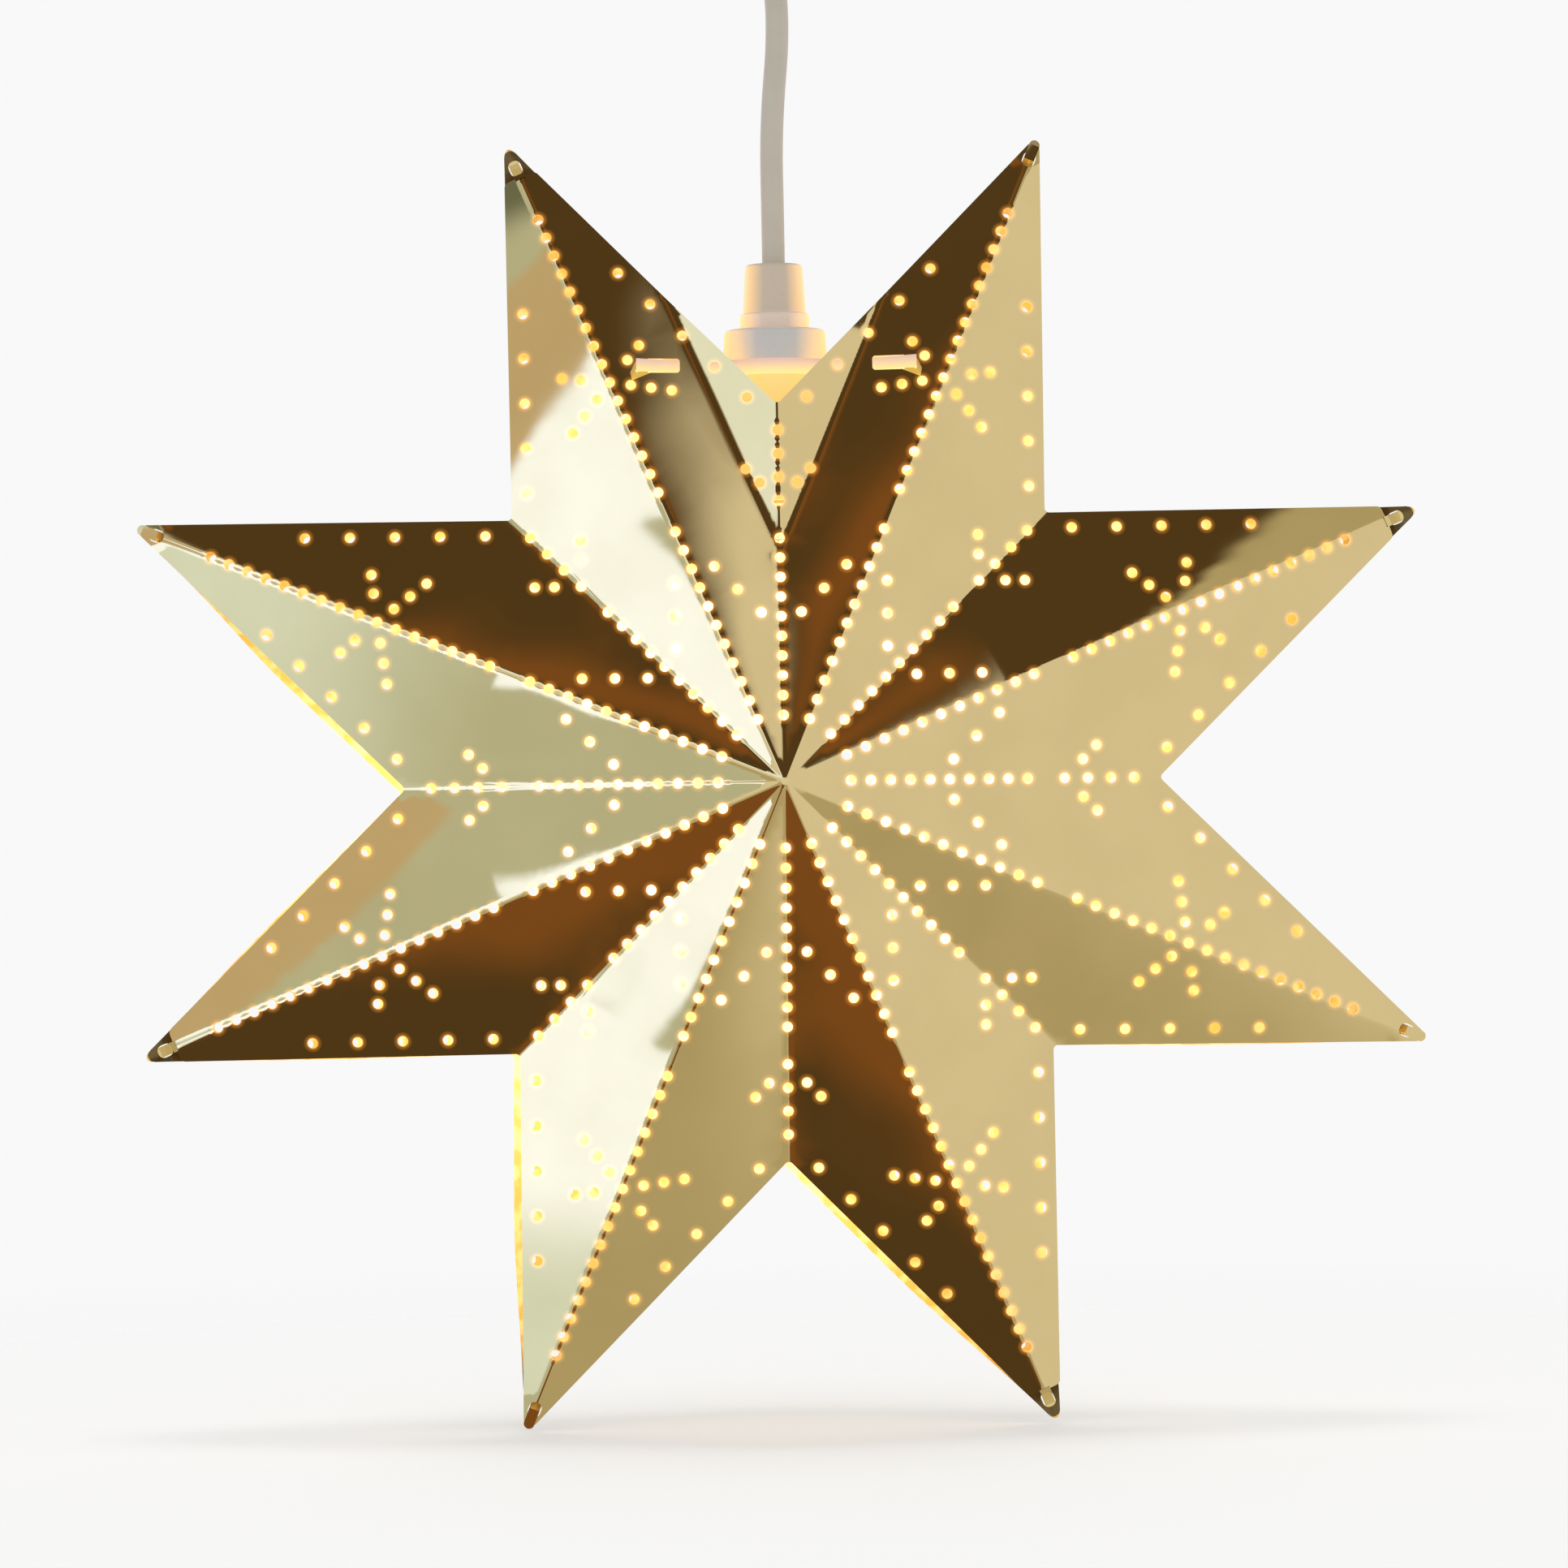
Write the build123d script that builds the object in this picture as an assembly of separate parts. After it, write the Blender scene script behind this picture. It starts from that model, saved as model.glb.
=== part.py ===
from build123d import *
import os
from math import atan2, cos, pi, radians, sin, tan

# Pendant star lamp: two stamped brass star shells round a small bulb, hung by its cord from a ceiling cup.
# Millimetres and degrees. The origin is on the ceiling at the fitting's centre, +Z is up, the star faces -Y.

# Star shells
POINT_COUNT = 8
TIP_RADIUS = 181.6  # star centre to the rounded end of a point
TIP_ROUND = 1.8  # rounding of that end
TIP_SHARPENING = 1.6  # unrounded corner past the rounded end, as a share of the rounding
NOTCH_RADIUS = 98.3  # star centre to the notch between two points
NOTCH_ROUND = 1.2
APEX_DEPTH = 56.0  # parting plane to a shell's inner face at the centre
NOTCH_DEPTH = 13.5  # parting plane to a shell's inner face at the notches
SHEET = 0.5  # brass sheet, measured square to the parting plane
TIP_CLEARANCE = 0.3  # between the two shells at the points
STAR_CENTRE_Z = -285.0

# Tongues and tip holes that hook the shells together
TONGUE_WIDTH = 2.8
TONGUE_SETBACK = 8.0  # a point with a tongue ends this much short of a full point
TONGUE_ROOT = 3.0  # length of tongue that lies on its own shell
TONGUE_OVERHANG = 0.4  # folded tongue past the end of the point
TONGUE_ROUND = 1.2
SHOULDER_ROUND = 1.5
TIP_HOLE_LENGTH = 4.1
TIP_HOLE_WIDTH = 3.4
TIP_HOLE_ROUND = 1.53
TIP_HOLE_SETBACK = 4.9  # end of the point to the hole's centre
FOLD_CLEARANCE = 0.12  # folded tongue above the other shell

# Punched pattern, as distances from the star's centre along a fold unless they say otherwise
HOLE_DIAMETER = 2.7
RIDGE_OUTER_START = 160.9
RIDGE_OUTER_COUNT = 16
RIDGE_INNER_START = 70.2
RIDGE_INNER_COUNT = 11
RIDGE_PITCH = 5.3
VALLEY_OUTER_START = 91.5
VALLEY_OUTER_COUNT = 4
VALLEY_OUTER_PITCH = 6.2
VALLEY_INNER_START = 63.1
VALLEY_INNER_COUNT = 10
VALLEY_INNER_PITCH = 5.13
RIM_INSET = 4.1  # rim row inside the rim's edge
RIM_FIRST = 6.9  # first rim hole from the notch, along the edge
RIM_PITCH = 11.85
RIM_COUNT = 5
FLAKE_INDEX = 9  # the outer ridge hole that the snowflake stands on
FLAKE_OUTWARD = (7.6, 12.6)  # holes on its spoke 60 degrees from outward
FLAKE_INWARD = (5.5, 10.8, 16.2)  # holes on its spoke 120 degrees from outward
FLAKE_SPOKE_DEG = 60.0
FORK_INDEX = 3  # the outer valley hole that the fork stands on
FORK_HOLES = (6.9, 12.0)
FORK_SPOKE_DEG = 45.0
CHEVRON_INSET = 26.8  # chevron row from the star's centre, square to the rim's edge
CHEVRON_FIRST = 34.8  # its first hole, along the edge's direction
CHEVRON_PITCH = 8.45
CHEVRON_COUNT = 3

# Lampholder, heights above the star's centre
NECK_TOP = 136.6
NECK_HEIGHT = 12.9
NECK_TOP_DIAMETER = 15.1
NECK_FOOT_DIAMETER = 16.7
RING_HEIGHT = 4.4
RING_DIAMETER = 18.6
COLLAR_HEIGHT = 8.2
COLLAR_TOP_DIAMETER = 26.6
COLLAR_FOOT_DIAMETER = 27.5
CAP_WALL = 1.8
CAP_ROUND = 0.9
SPIGOT_DIAMETER = 21.6  # threaded top of the holder's body, inside the collar
SPIGOT_HEIGHT = 6.0  # of it above the bracket
BODY_DIAMETER = 23.6
BODY_LENGTH = 33.0
BODY_WALL = 1.5
BODY_ROUND = 1.0
SCREWED_CLEARANCE = 0.05  # between threaded or pressed plastic pieces
CLAMP_LENGTH = 6.0
BLOCK_LENGTH = 14.0
SOCKET_LEDGE = 1.2  # step inside the body that carries the insert
SCREW_SHELL_LENGTH = 20.0
SCREW_SHELL_WALL = 0.4
LEAF_THICKNESS = 0.4
LEAF_WIDTH = 4.0
LEAF_DROP = 3.5
LEAF_REACH = 5.5
LEAF_SLANT = 1.0
CONTACT_SCREW_OFFSET = 5.2
CONTACT_SCREW_DIAMETER = 2.5
CONTACT_HEAD_DIAMETER = 3.8
CONTACT_HEAD_HEIGHT = 1.4
CONTACT_SCREW_LENGTH = 7.0
CORE_DIAMETER = 1.8
CORE_SPACING = 2.6  # between the two cores where they leave the cord

# Bracket that carries the shells
BRACKET_RING_DIAMETER = 25.6
BRACKET_RING_HEIGHT = 3.9
ARM_THICKNESS = 3.2
SLOT_INNER_X = 25.1
SLOT_OUTER_X = 36.7
SLOT_CLEARANCE = 0.3  # round an arm in its slot
SLOT_ROUND = 0.8
HOOK_START_X = 29.8  # where an arm's hook comes through the shell
HOOK_STAND_OUT = 3.9  # hook's corner in front of the shell
ARM_ROOT_WIDTH = 9.0
ARM_ROOT_DEG = 40.0  # where an arm's front edge meets the ring
ARM_BACK_DEPTH = 4.5  # arm behind the shell at its outer end

# Bulb
CAP_THREAD_DIAMETER = 13.8
CAP_THREAD_PITCH = 2.82
CAP_THREAD_DEPTH = 0.5
CAP_THREAD_TURNS = 5
THREAD_RISE = 0.15  # where a rolled ring starts, as a share of the pitch
THREAD_CREST = 0.4  # where its crest starts; both the same from its other end
CAP_WALL_THICKNESS = 0.35
CAP_SHOULDER = 2.0
THREAD_CLEARANCE = 0.3  # bulb cap in the screw shell
EYELET_DIAMETER = 4.8
EYELET_HEIGHT = 1.1
EYELET_ROUND = 0.88
INSULATOR_HEIGHT = 3.0
CONTACT_CLEARANCE = 0.25  # eyelet below the leaf
TURNING_CLEARANCE = 0.05  # bulb cap round the glass
GLASS_DIAMETER = 35.0
GLASS_WALL = 0.8
GLASS_NECK_DIAMETER = 12.0
GLASS_LENGTH = 76.0
GLASS_WIDEST = 38.0  # widest place, below the glass's seat
GLASS_TIP_DIAMETER = 9.0
GLASS_TIP_LEAN = 0.5  # inward run of the wall there, for each millimetre down
GLASS_SEAT = 8.0  # glass neck inside the cap
STEM_DIAMETER = 6.0
STEM_LENGTH = 22.0
STEM_ROUND = 1.8
FILAMENT_COUNT = 4
FILAMENT_DIAMETER = 1.6
FILAMENT_LENGTH = 34.0
FILAMENT_GAP = 2.0  # below the stem's end
FILAMENT_CIRCLE = 11.0
WIRE_DIAMETER = 0.6

# Cord
CORD_DIAMETER = 6.0
CORD_CLEARANCE = 0.15  # cord in the pieces that hold it
ROUTE_ARC_SHARE = 0.45  # of the shorter run beside a bend, taken by its arc
CORD_ROUTE = [(0, 0, -44), (0, 0, -64), (2.6, 0, -84), (-0.2, 0, -112), (0, 0, -138), (0, 0, -161)]

# Ceiling fitting
CUP_DIAMETER = 90.0
CUP_HEIGHT = 56.0
CUP_STRAIGHT = 30.0  # straight upper part of the cup
CUP_MOUTH_DIAMETER = 46.0
CUP_WALL = 2.0
CUP_SHOULDER_ROUND = 16.0
CUP_MOUTH_ROUND = 5.0
PLATE_WIDTH = 16.0
PLATE_THICKNESS = 1.6
PLATE_HOLE_SPACING = 60.0
PLATE_HOLE_DIAMETER = 4.5
TAB_HEIGHT = 13.0
TAB_CLEARANCE = 0.15  # bent end inside the cup
CUP_SCREW_DIAMETER = 4.0
CUP_SCREW_HEAD_DIAMETER = 7.0
CUP_SCREW_HEAD_HEIGHT = 2.2
CUP_SCREW_HEAD_ROUND = 1.32
CUP_SCREW_PAST_TAB = 1.0  # screw's end inside the bent end
CUP_SCREW_Z = -8.0
BUSH_DIAMETER = 31.0
BUSH_BORE = 24.0
BUSH_FLANGE_DIAMETER = 37.0
BUSH_FLANGE_HEIGHT = 2.0
BUSH_DROP = 4.0  # of the bush below the cup
RUNNING_CLEARANCE = 0.06  # turning fits of bush and pins
SEAT_CLEARANCE = 0.15  # turning flat faces
BUSH_RING_DIAMETER = 36.0
BUSH_RING_HEIGHT = 3.0
BUSH_RING_ROUND = 1.2
GIMBAL_OUTER_DIAMETER = 22.0
GIMBAL_INNER_DIAMETER = 16.0
GIMBAL_HEIGHT = 5.0
PIVOT_PIN_DIAMETER = 2.5
PIVOT_PIN_BITE = 1.9  # of a pin inside the piece that turns on it
PIN_SINK = 0.3  # of a pin's end below the face that it is pressed in at
GRIP_DIAMETER = 12.0
GRIP_ABOVE = 11.0  # of the grip above the pivot
GRIP_BELOW = 4.0
GRIP_SCREW_DIAMETER = 3.0
GRIP_SCREW_HEIGHT = 7.5  # above the pivot
SCREW_SLOT_DEPTH = 0.55  # of the small headless screws
TERMINAL_SIZE = (16.0, 9.0, 12.0)
TERMINAL_RISE = 6.0  # above the cord's end
TERMINAL_SPACING = 8.0
TERMINAL_BORE = 3.2
TERMINAL_SCREW_DIAMETER = 2.6
TERMINAL_SCREW_SINK = 1.0

SAME_PLACE = 0.01  # edges closer than this to a wanted place are the wanted ones

# Values that follow from the driving dimensions
HALF_STEP = 180.0 / POINT_COUNT  # angle between a ridge and the valley beside it
TIP_SHARP = TIP_RADIUS + TIP_ROUND * TIP_SHARPENING  # where the rim's edges would meet without the rounding
TIP_DEPTH = TIP_CLEARANCE / 2
RIDGE_SLOPE = (APEX_DEPTH - TIP_DEPTH) / TIP_SHARP
VALLEY_SLOPE = (APEX_DEPTH - NOTCH_DEPTH) / NOTCH_RADIUS
SIDE_SLOPE = (RIDGE_SLOPE - VALLEY_SLOPE * cos(radians(HALF_STEP))) / sin(radians(HALF_STEP))
RIM_HALF_WIDTH = NOTCH_RADIUS * sin(radians(HALF_STEP))
RIM_RUN = TIP_SHARP - NOTCH_RADIUS * cos(radians(HALF_STEP))

COLLAR_TOP = NECK_TOP - NECK_HEIGHT - RING_HEIGHT
COLLAR_FOOT = COLLAR_TOP - COLLAR_HEIGHT
BRACKET_FOOT = COLLAR_FOOT - BRACKET_RING_HEIGHT
ARM_MIDDLE = COLLAR_FOOT - BRACKET_RING_HEIGHT / 2
BODY_FOOT = BRACKET_FOOT - BODY_LENGTH
SPIGOT_TOP = COLLAR_FOOT + SPIGOT_HEIGHT
BODY_BORE = SPIGOT_DIAMETER - 2 * BODY_WALL
BLOCK_TOP = SPIGOT_TOP
BLOCK_FOOT = BLOCK_TOP - BLOCK_LENGTH
SCREW_SHELL_BORE = CAP_THREAD_DIAMETER + 2 * THREAD_CLEARANCE
EYELET_TOP = BLOCK_FOOT - LEAF_DROP - LEAF_THICKNESS - CONTACT_CLEARANCE
CAP_TOP = EYELET_TOP - EYELET_HEIGHT - INSULATOR_HEIGHT
CAP_LENGTH = CAP_THREAD_PITCH * CAP_THREAD_TURNS + CAP_SHOULDER
GLASS_TOP = CAP_TOP - CAP_LENGTH + GLASS_SEAT

PIVOT_Z = -CUP_HEIGHT
BUSH_FOOT_Z = -CUP_HEIGHT - BUSH_DROP
CUP_FLOOR_Z = -CUP_HEIGHT + CUP_WALL


def upright(radius, low, high, x=0.0, y=0.0):
    """Round bar along Z between two heights."""
    return Pos(x, y, low) * Cylinder(radius, high - low, align=(Align.CENTER, Align.CENTER, Align.MIN))


def bar_between(radius, start, end):
    """Round bar from one point to another."""
    axis = Vector(*end) - Vector(*start)
    return Solid.make_cylinder(radius, axis.length, Plane(Vector(*start), z_dir=axis))


def turned(points):
    """Solid of revolution about Z from the corners of its half section, given as (radius, height)."""
    return revolve(make_face(Plane.XZ * Polyline(*points, close=True)), Axis.Z)


def lamp(height):
    """Height above the star's centre, as Z."""
    return STAR_CENTRE_Z + height


def side_corner(before, corner, after, distance):
    """Corner of a polyline in a plane, moved square to both its runs, to the left of the travel."""
    first = atan2(corner[1] - before[1], corner[0] - before[0])
    second = atan2(after[1] - corner[1], after[0] - corner[0])
    middle = first + atan2(sin(second - first), cos(second - first)) / 2
    reach = distance / cos(middle - first)
    return corner[0] - reach * sin(middle), corner[1] + reach * cos(middle)


def band(points, thickness):
    """Corners of a bent strip's section, from the points along its middle."""
    ahead = [(2 * points[0][0] - points[1][0], 2 * points[0][1] - points[1][1])]
    behind = [(2 * points[-1][0] - points[-2][0], 2 * points[-1][1] - points[-2][1])]
    line = ahead + points + behind
    corners = range(1, len(line) - 1)
    left = [side_corner(line[i - 1], line[i], line[i + 1], thickness / 2) for i in corners]
    right = [side_corner(line[i - 1], line[i], line[i + 1], -thickness / 2) for i in corners]
    return left + right[::-1]


def shell_depth(along, across):
    """Depth of a shell's inner face, by the distance along a valley and square to it."""
    return APEX_DEPTH - VALLEY_SLOPE * along - SIDE_SLOPE * abs(across)


def ridge_depth(radius):
    """Depth of a shell's inner face on a ridge."""
    return APEX_DEPTH - RIDGE_SLOPE * radius


def polar(radius, angle, along=0.0, across=0.0):
    """Point on the star's plane: out along a direction, then a step along and square to it."""
    turn = radians(angle)
    out = radius + along
    return out * cos(turn) - across * sin(turn), out * sin(turn) + across * cos(turn)


def rim_half_width(radius):
    """Half the width of a point at a distance from the star's centre."""
    return RIM_HALF_WIDTH * (TIP_SHARP - radius) / RIM_RUN


def star_outline():
    """Rim of the flat star: full points and shorter points with tongues in turn, rounded corners."""
    corners = []
    rounds = []
    stub = TIP_RADIUS - TONGUE_SETBACK
    for index in range(POINT_COUNT):
        angle = HALF_STEP + 2 * HALF_STEP * index
        if index % 2:
            corners.append(polar(TIP_SHARP, angle))
            rounds.append(TIP_ROUND)
        else:
            width = rim_half_width(stub)
            corners.append(polar(stub, angle, across=-width))
            corners.append(polar(stub, angle, across=width))
            rounds += [SHOULDER_ROUND, SHOULDER_ROUND]
        corners.append(polar(NOTCH_RADIUS, angle + HALF_STEP))
        rounds.append(NOTCH_ROUND)
    return FilletPolyline(*corners, radius=rounds, close=True)


def facet_holes():
    """Holes on one facet: (along, across) in the frame of the valley beside it, ridge on the left."""
    holes = []
    to_tip = atan2(TIP_SHARP * sin(radians(HALF_STEP)), TIP_SHARP * cos(radians(HALF_STEP)) - NOTCH_RADIUS)
    for index in range(RIM_COUNT):
        run = RIM_FIRST + RIM_PITCH * index
        along = NOTCH_RADIUS + run * cos(to_tip) - RIM_INSET * sin(to_tip)
        holes.append((along, run * sin(to_tip) + RIM_INSET * cos(to_tip)))
    for index in range(CHEVRON_COUNT):
        run = CHEVRON_FIRST + CHEVRON_PITCH * index
        along = run * cos(to_tip) + CHEVRON_INSET * sin(to_tip)
        holes.append((along, run * sin(to_tip) - CHEVRON_INSET * cos(to_tip)))
    fork = VALLEY_OUTER_START - FORK_INDEX * VALLEY_OUTER_PITCH
    spoke = radians(FORK_SPOKE_DEG)
    holes += [(fork + reach * cos(spoke), reach * sin(spoke)) for reach in FORK_HOLES]
    flake = RIDGE_OUTER_START - FLAKE_INDEX * RIDGE_PITCH
    for reach in FLAKE_OUTWARD:
        holes.append(polar(flake, HALF_STEP, *polar(reach, -FLAKE_SPOKE_DEG)))
    for reach in FLAKE_INWARD:
        holes.append(polar(flake, HALF_STEP, *polar(reach, FLAKE_SPOKE_DEG - 180)))
    return holes


def hole_centres():
    """Every punched hole of one shell, on the star's plane."""
    ridge = [RIDGE_OUTER_START - RIDGE_PITCH * i for i in range(RIDGE_OUTER_COUNT)]
    ridge += [RIDGE_INNER_START - RIDGE_PITCH * i for i in range(RIDGE_INNER_COUNT)]
    valley = [VALLEY_OUTER_START - VALLEY_OUTER_PITCH * i for i in range(VALLEY_OUTER_COUNT)]
    valley += [VALLEY_INNER_START - VALLEY_INNER_PITCH * i for i in range(VALLEY_INNER_COUNT)]
    centres = []
    for index in range(POINT_COUNT):
        angle = 2 * HALF_STEP * index
        centres += [polar(radius, angle) for radius in valley]
        centres += [polar(radius, angle + HALF_STEP) for radius in ridge]
        for along, across in facet_holes():
            centres += [polar(along, angle, across=across), polar(along, angle, across=-across)]
    return centres


def shell_openings():
    """Wires of all that is cut out of one shell: punched holes, tip holes and bracket slots."""
    wires = [Wire.make_circle(HOLE_DIAMETER / 2, Plane(centre)) for centre in hole_centres()]
    tip_hole = RectangleRounded(TIP_HOLE_LENGTH, TIP_HOLE_WIDTH, TIP_HOLE_ROUND).wire()
    for index in range(1, POINT_COUNT, 2):
        angle = HALF_STEP + 2 * HALF_STEP * index
        place = polar(TIP_RADIUS - TIP_HOLE_SETBACK, angle)
        wires.append(Pos(*place) * Rot(0, 0, angle) * tip_hole)
    height = ARM_THICKNESS + 2 * SLOT_CLEARANCE
    slot = RectangleRounded(SLOT_OUTER_X - SLOT_INNER_X, height, SLOT_ROUND).wire()
    for side in (-1, 1):
        wires.append(Pos(side * (SLOT_OUTER_X + SLOT_INNER_X) / 2, ARM_MIDDLE) * slot)
    return wires


def folded_plate():
    """Sheet folded into ridges and valleys, wider than the star, with its depth along Z."""
    reach = TIP_SHARP + TIP_ROUND
    inner = []
    outer = []
    for index in range(2 * POINT_COUNT):
        slope = RIDGE_SLOPE if index % 2 else VALLEY_SLOPE
        x, y = polar(reach, HALF_STEP * index)
        inner.append((x, y, APEX_DEPTH - slope * reach))
        outer.append((x, y, APEX_DEPTH - slope * reach + SHEET))
    faces = []
    for index in range(2 * POINT_COUNT):
        after = (index + 1) % (2 * POINT_COUNT)
        for rim, apex in ((inner, APEX_DEPTH), (outer, APEX_DEPTH + SHEET)):
            faces.append(Face(Wire.make_polygon([(0, 0, apex), rim[index], rim[after]])))
        edge = [inner[index], inner[after], outer[after], outer[index]]
        faces.append(Face(Wire.make_polygon(edge)))
    return Solid(Shell(faces))


def tongue():
    """Tongue of the point at angle 0: on its own shell, through the other shell, folded outwards."""
    half = SHEET / 2
    stub = TIP_RADIUS - TONGUE_SETBACK
    root = stub - TONGUE_ROOT
    bend = stub + SHEET
    hole = TIP_RADIUS - TIP_HOLE_SETBACK
    end = TIP_RADIUS + TONGUE_OVERHANG
    above = SHEET + FOLD_CLEARANCE + half
    middle = [
        (root, ridge_depth(root) + half),
        (bend, ridge_depth(bend) + half),
        (hole, -ridge_depth(hole) - above),
        (end, -ridge_depth(end) - above),
    ]
    section = make_face(Plane.XZ * Polyline(*band(middle, SHEET), close=True))
    strip = extrude(section, TONGUE_WIDTH / 2, both=True)
    ends = strip.edges().filter_by(lambda edge: edge.length < 2 * SHEET).group_by(Axis.X)[-1]
    return fillet(ends, TONGUE_ROUND)


def star_shell():
    """One brass stamping, facing the viewer, placed at the star's centre."""
    blank = Face(Wire(star_outline().edges()), shell_openings())
    shell = folded_plate() & Pos(0, 0, -APEX_DEPTH) * extrude(blank, 2 * APEX_DEPTH + 2 * SHEET)
    for index in range(0, POINT_COUNT, 2):
        shell += Rot(0, 0, HALF_STEP + 2 * HALF_STEP * index) * tongue()
    facing = Plane((0, 0, STAR_CENTRE_Z), x_dir=(1, 0, 0), z_dir=(0, -1, 0))
    return facing.location * shell


def holder_cap():
    """Tapered neck, ring and collar, hollow from below."""
    neck_foot = NECK_TOP - NECK_HEIGHT
    outside = turned([
        (0, lamp(COLLAR_FOOT)),
        (COLLAR_FOOT_DIAMETER / 2, lamp(COLLAR_FOOT)),
        (COLLAR_TOP_DIAMETER / 2, lamp(COLLAR_TOP)),
        (RING_DIAMETER / 2, lamp(COLLAR_TOP)),
        (RING_DIAMETER / 2, lamp(neck_foot)),
        (NECK_FOOT_DIAMETER / 2, lamp(neck_foot)),
        (NECK_TOP_DIAMETER / 2, lamp(NECK_TOP)),
        (0, lamp(NECK_TOP)),
    ])
    crowns = [(COLLAR_TOP_DIAMETER, COLLAR_TOP), (RING_DIAMETER, neck_foot), (NECK_TOP_DIAMETER, NECK_TOP)]
    for diameter, height in crowns:
        rim = outside.edges().filter_by(GeomType.CIRCLE)
        rim = rim.filter_by(lambda e: abs(e.radius - diameter / 2) < SAME_PLACE)
        rim = rim.filter_by(lambda e: abs(e.arc_center.Z - lamp(height)) < SAME_PLACE)
        outside = fillet(rim, CAP_ROUND)
    roof = NECK_TOP - 2 * CAP_WALL
    inside = upright(SPIGOT_DIAMETER / 2 + SCREWED_CLEARANCE, lamp(COLLAR_FOOT), lamp(SPIGOT_TOP))
    inside += upright(RING_DIAMETER / 2 - CAP_WALL, lamp(COLLAR_FOOT), lamp(neck_foot))
    inside += upright(NECK_TOP_DIAMETER / 2 - CAP_WALL, lamp(COLLAR_FOOT), lamp(roof))
    inside += upright(CORD_DIAMETER / 2 + CORD_CLEARANCE, lamp(roof), lamp(NECK_TOP))
    return outside - inside


def cord_clamp():
    """Strain-relief bush round the cord, under the neck's roof."""
    top = lamp(NECK_TOP - 2 * CAP_WALL)
    outer = NECK_TOP_DIAMETER / 2 - CAP_WALL - SCREWED_CLEARANCE
    return upright(outer, top - CLAMP_LENGTH, top) - upright(
        CORD_DIAMETER / 2 + CORD_CLEARANCE, top - CLAMP_LENGTH, top
    )


def holder_body():
    """Skirt with a narrower threaded top; a ledge inside carries the insert."""
    outside = upright(BODY_DIAMETER / 2, lamp(BODY_FOOT), lamp(BRACKET_FOOT))
    outside = fillet(outside.edges().group_by(Axis.Z)[0], BODY_ROUND)
    outside += upright(SPIGOT_DIAMETER / 2, lamp(BRACKET_FOOT), lamp(SPIGOT_TOP))
    inside = upright(BODY_BORE / 2, lamp(BLOCK_FOOT), lamp(SPIGOT_TOP))
    inside += upright(BODY_BORE / 2 - SOCKET_LEDGE, lamp(BODY_FOOT), lamp(BLOCK_FOOT))
    return outside - inside


def contact_block():
    """Insulating insert, with holes for the two terminal screws."""
    block = upright(BODY_BORE / 2 - SCREWED_CLEARANCE, lamp(BLOCK_FOOT), lamp(BLOCK_TOP))
    for side in (-1, 1):
        low = lamp(BLOCK_TOP - CONTACT_SCREW_LENGTH)
        block -= upright(CONTACT_SCREW_DIAMETER / 2, low, lamp(BLOCK_TOP), side * CONTACT_SCREW_OFFSET)
    return block


def contact_screws():
    """Two terminal screws, heads up."""
    screws = []
    for side in (-1, 1):
        x = side * CONTACT_SCREW_OFFSET
        low = lamp(BLOCK_TOP - CONTACT_SCREW_LENGTH)
        head_top = lamp(BLOCK_TOP + CONTACT_HEAD_HEIGHT)
        screw = upright(CONTACT_SCREW_DIAMETER / 2, low, lamp(BLOCK_TOP), x)
        screw += upright(CONTACT_HEAD_DIAMETER / 2, lamp(BLOCK_TOP), head_top, x)
        slot = Box(CONTACT_HEAD_DIAMETER, CONTACT_HEAD_DIAMETER / 5, CONTACT_HEAD_HEIGHT)
        screws.append(screw - Pos(x, 0, head_top) * slot)
    return Compound(screws)


def screw_shell():
    """Metal sleeve that takes the bulb's cap."""
    foot = lamp(BLOCK_FOOT - SCREW_SHELL_LENGTH)
    outer = SCREW_SHELL_BORE / 2 + SCREW_SHELL_WALL
    return upright(outer, foot, lamp(BLOCK_FOOT)) - upright(SCREW_SHELL_BORE / 2, foot, lamp(BLOCK_FOOT))


def centre_contact():
    """Leaf under the insert: fixed at one side, its free end under the axis."""
    top = lamp(BLOCK_FOOT) - LEAF_THICKNESS / 2
    low = top - LEAF_DROP
    bend = LEAF_REACH / 3
    middle = [(LEAF_REACH, top), (bend, top), (bend - LEAF_SLANT, low), (-bend, low)]
    section = make_face(Plane.XZ * Polyline(*band(middle, LEAF_THICKNESS), close=True))
    return extrude(section, LEAF_WIDTH / 2, both=True)


def holder_cores():
    """The cord's two cores, from its lower end to the terminal screws."""
    start_z = CORD_ROUTE[-1][2]
    end_z = lamp(BLOCK_TOP + CONTACT_HEAD_HEIGHT) + CORE_DIAMETER / 2
    cores = []
    for side in (-1, 1):
        start = (side * CORE_SPACING / 2, 0, start_z)
        end = (side * CONTACT_SCREW_OFFSET, 0, end_z)
        core = bar_between(CORE_DIAMETER / 2, start, end)
        core &= upright(BODY_BORE, end_z - CORE_DIAMETER / 2, start_z)
        cores.append(core)
    return Compound(cores)


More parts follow.
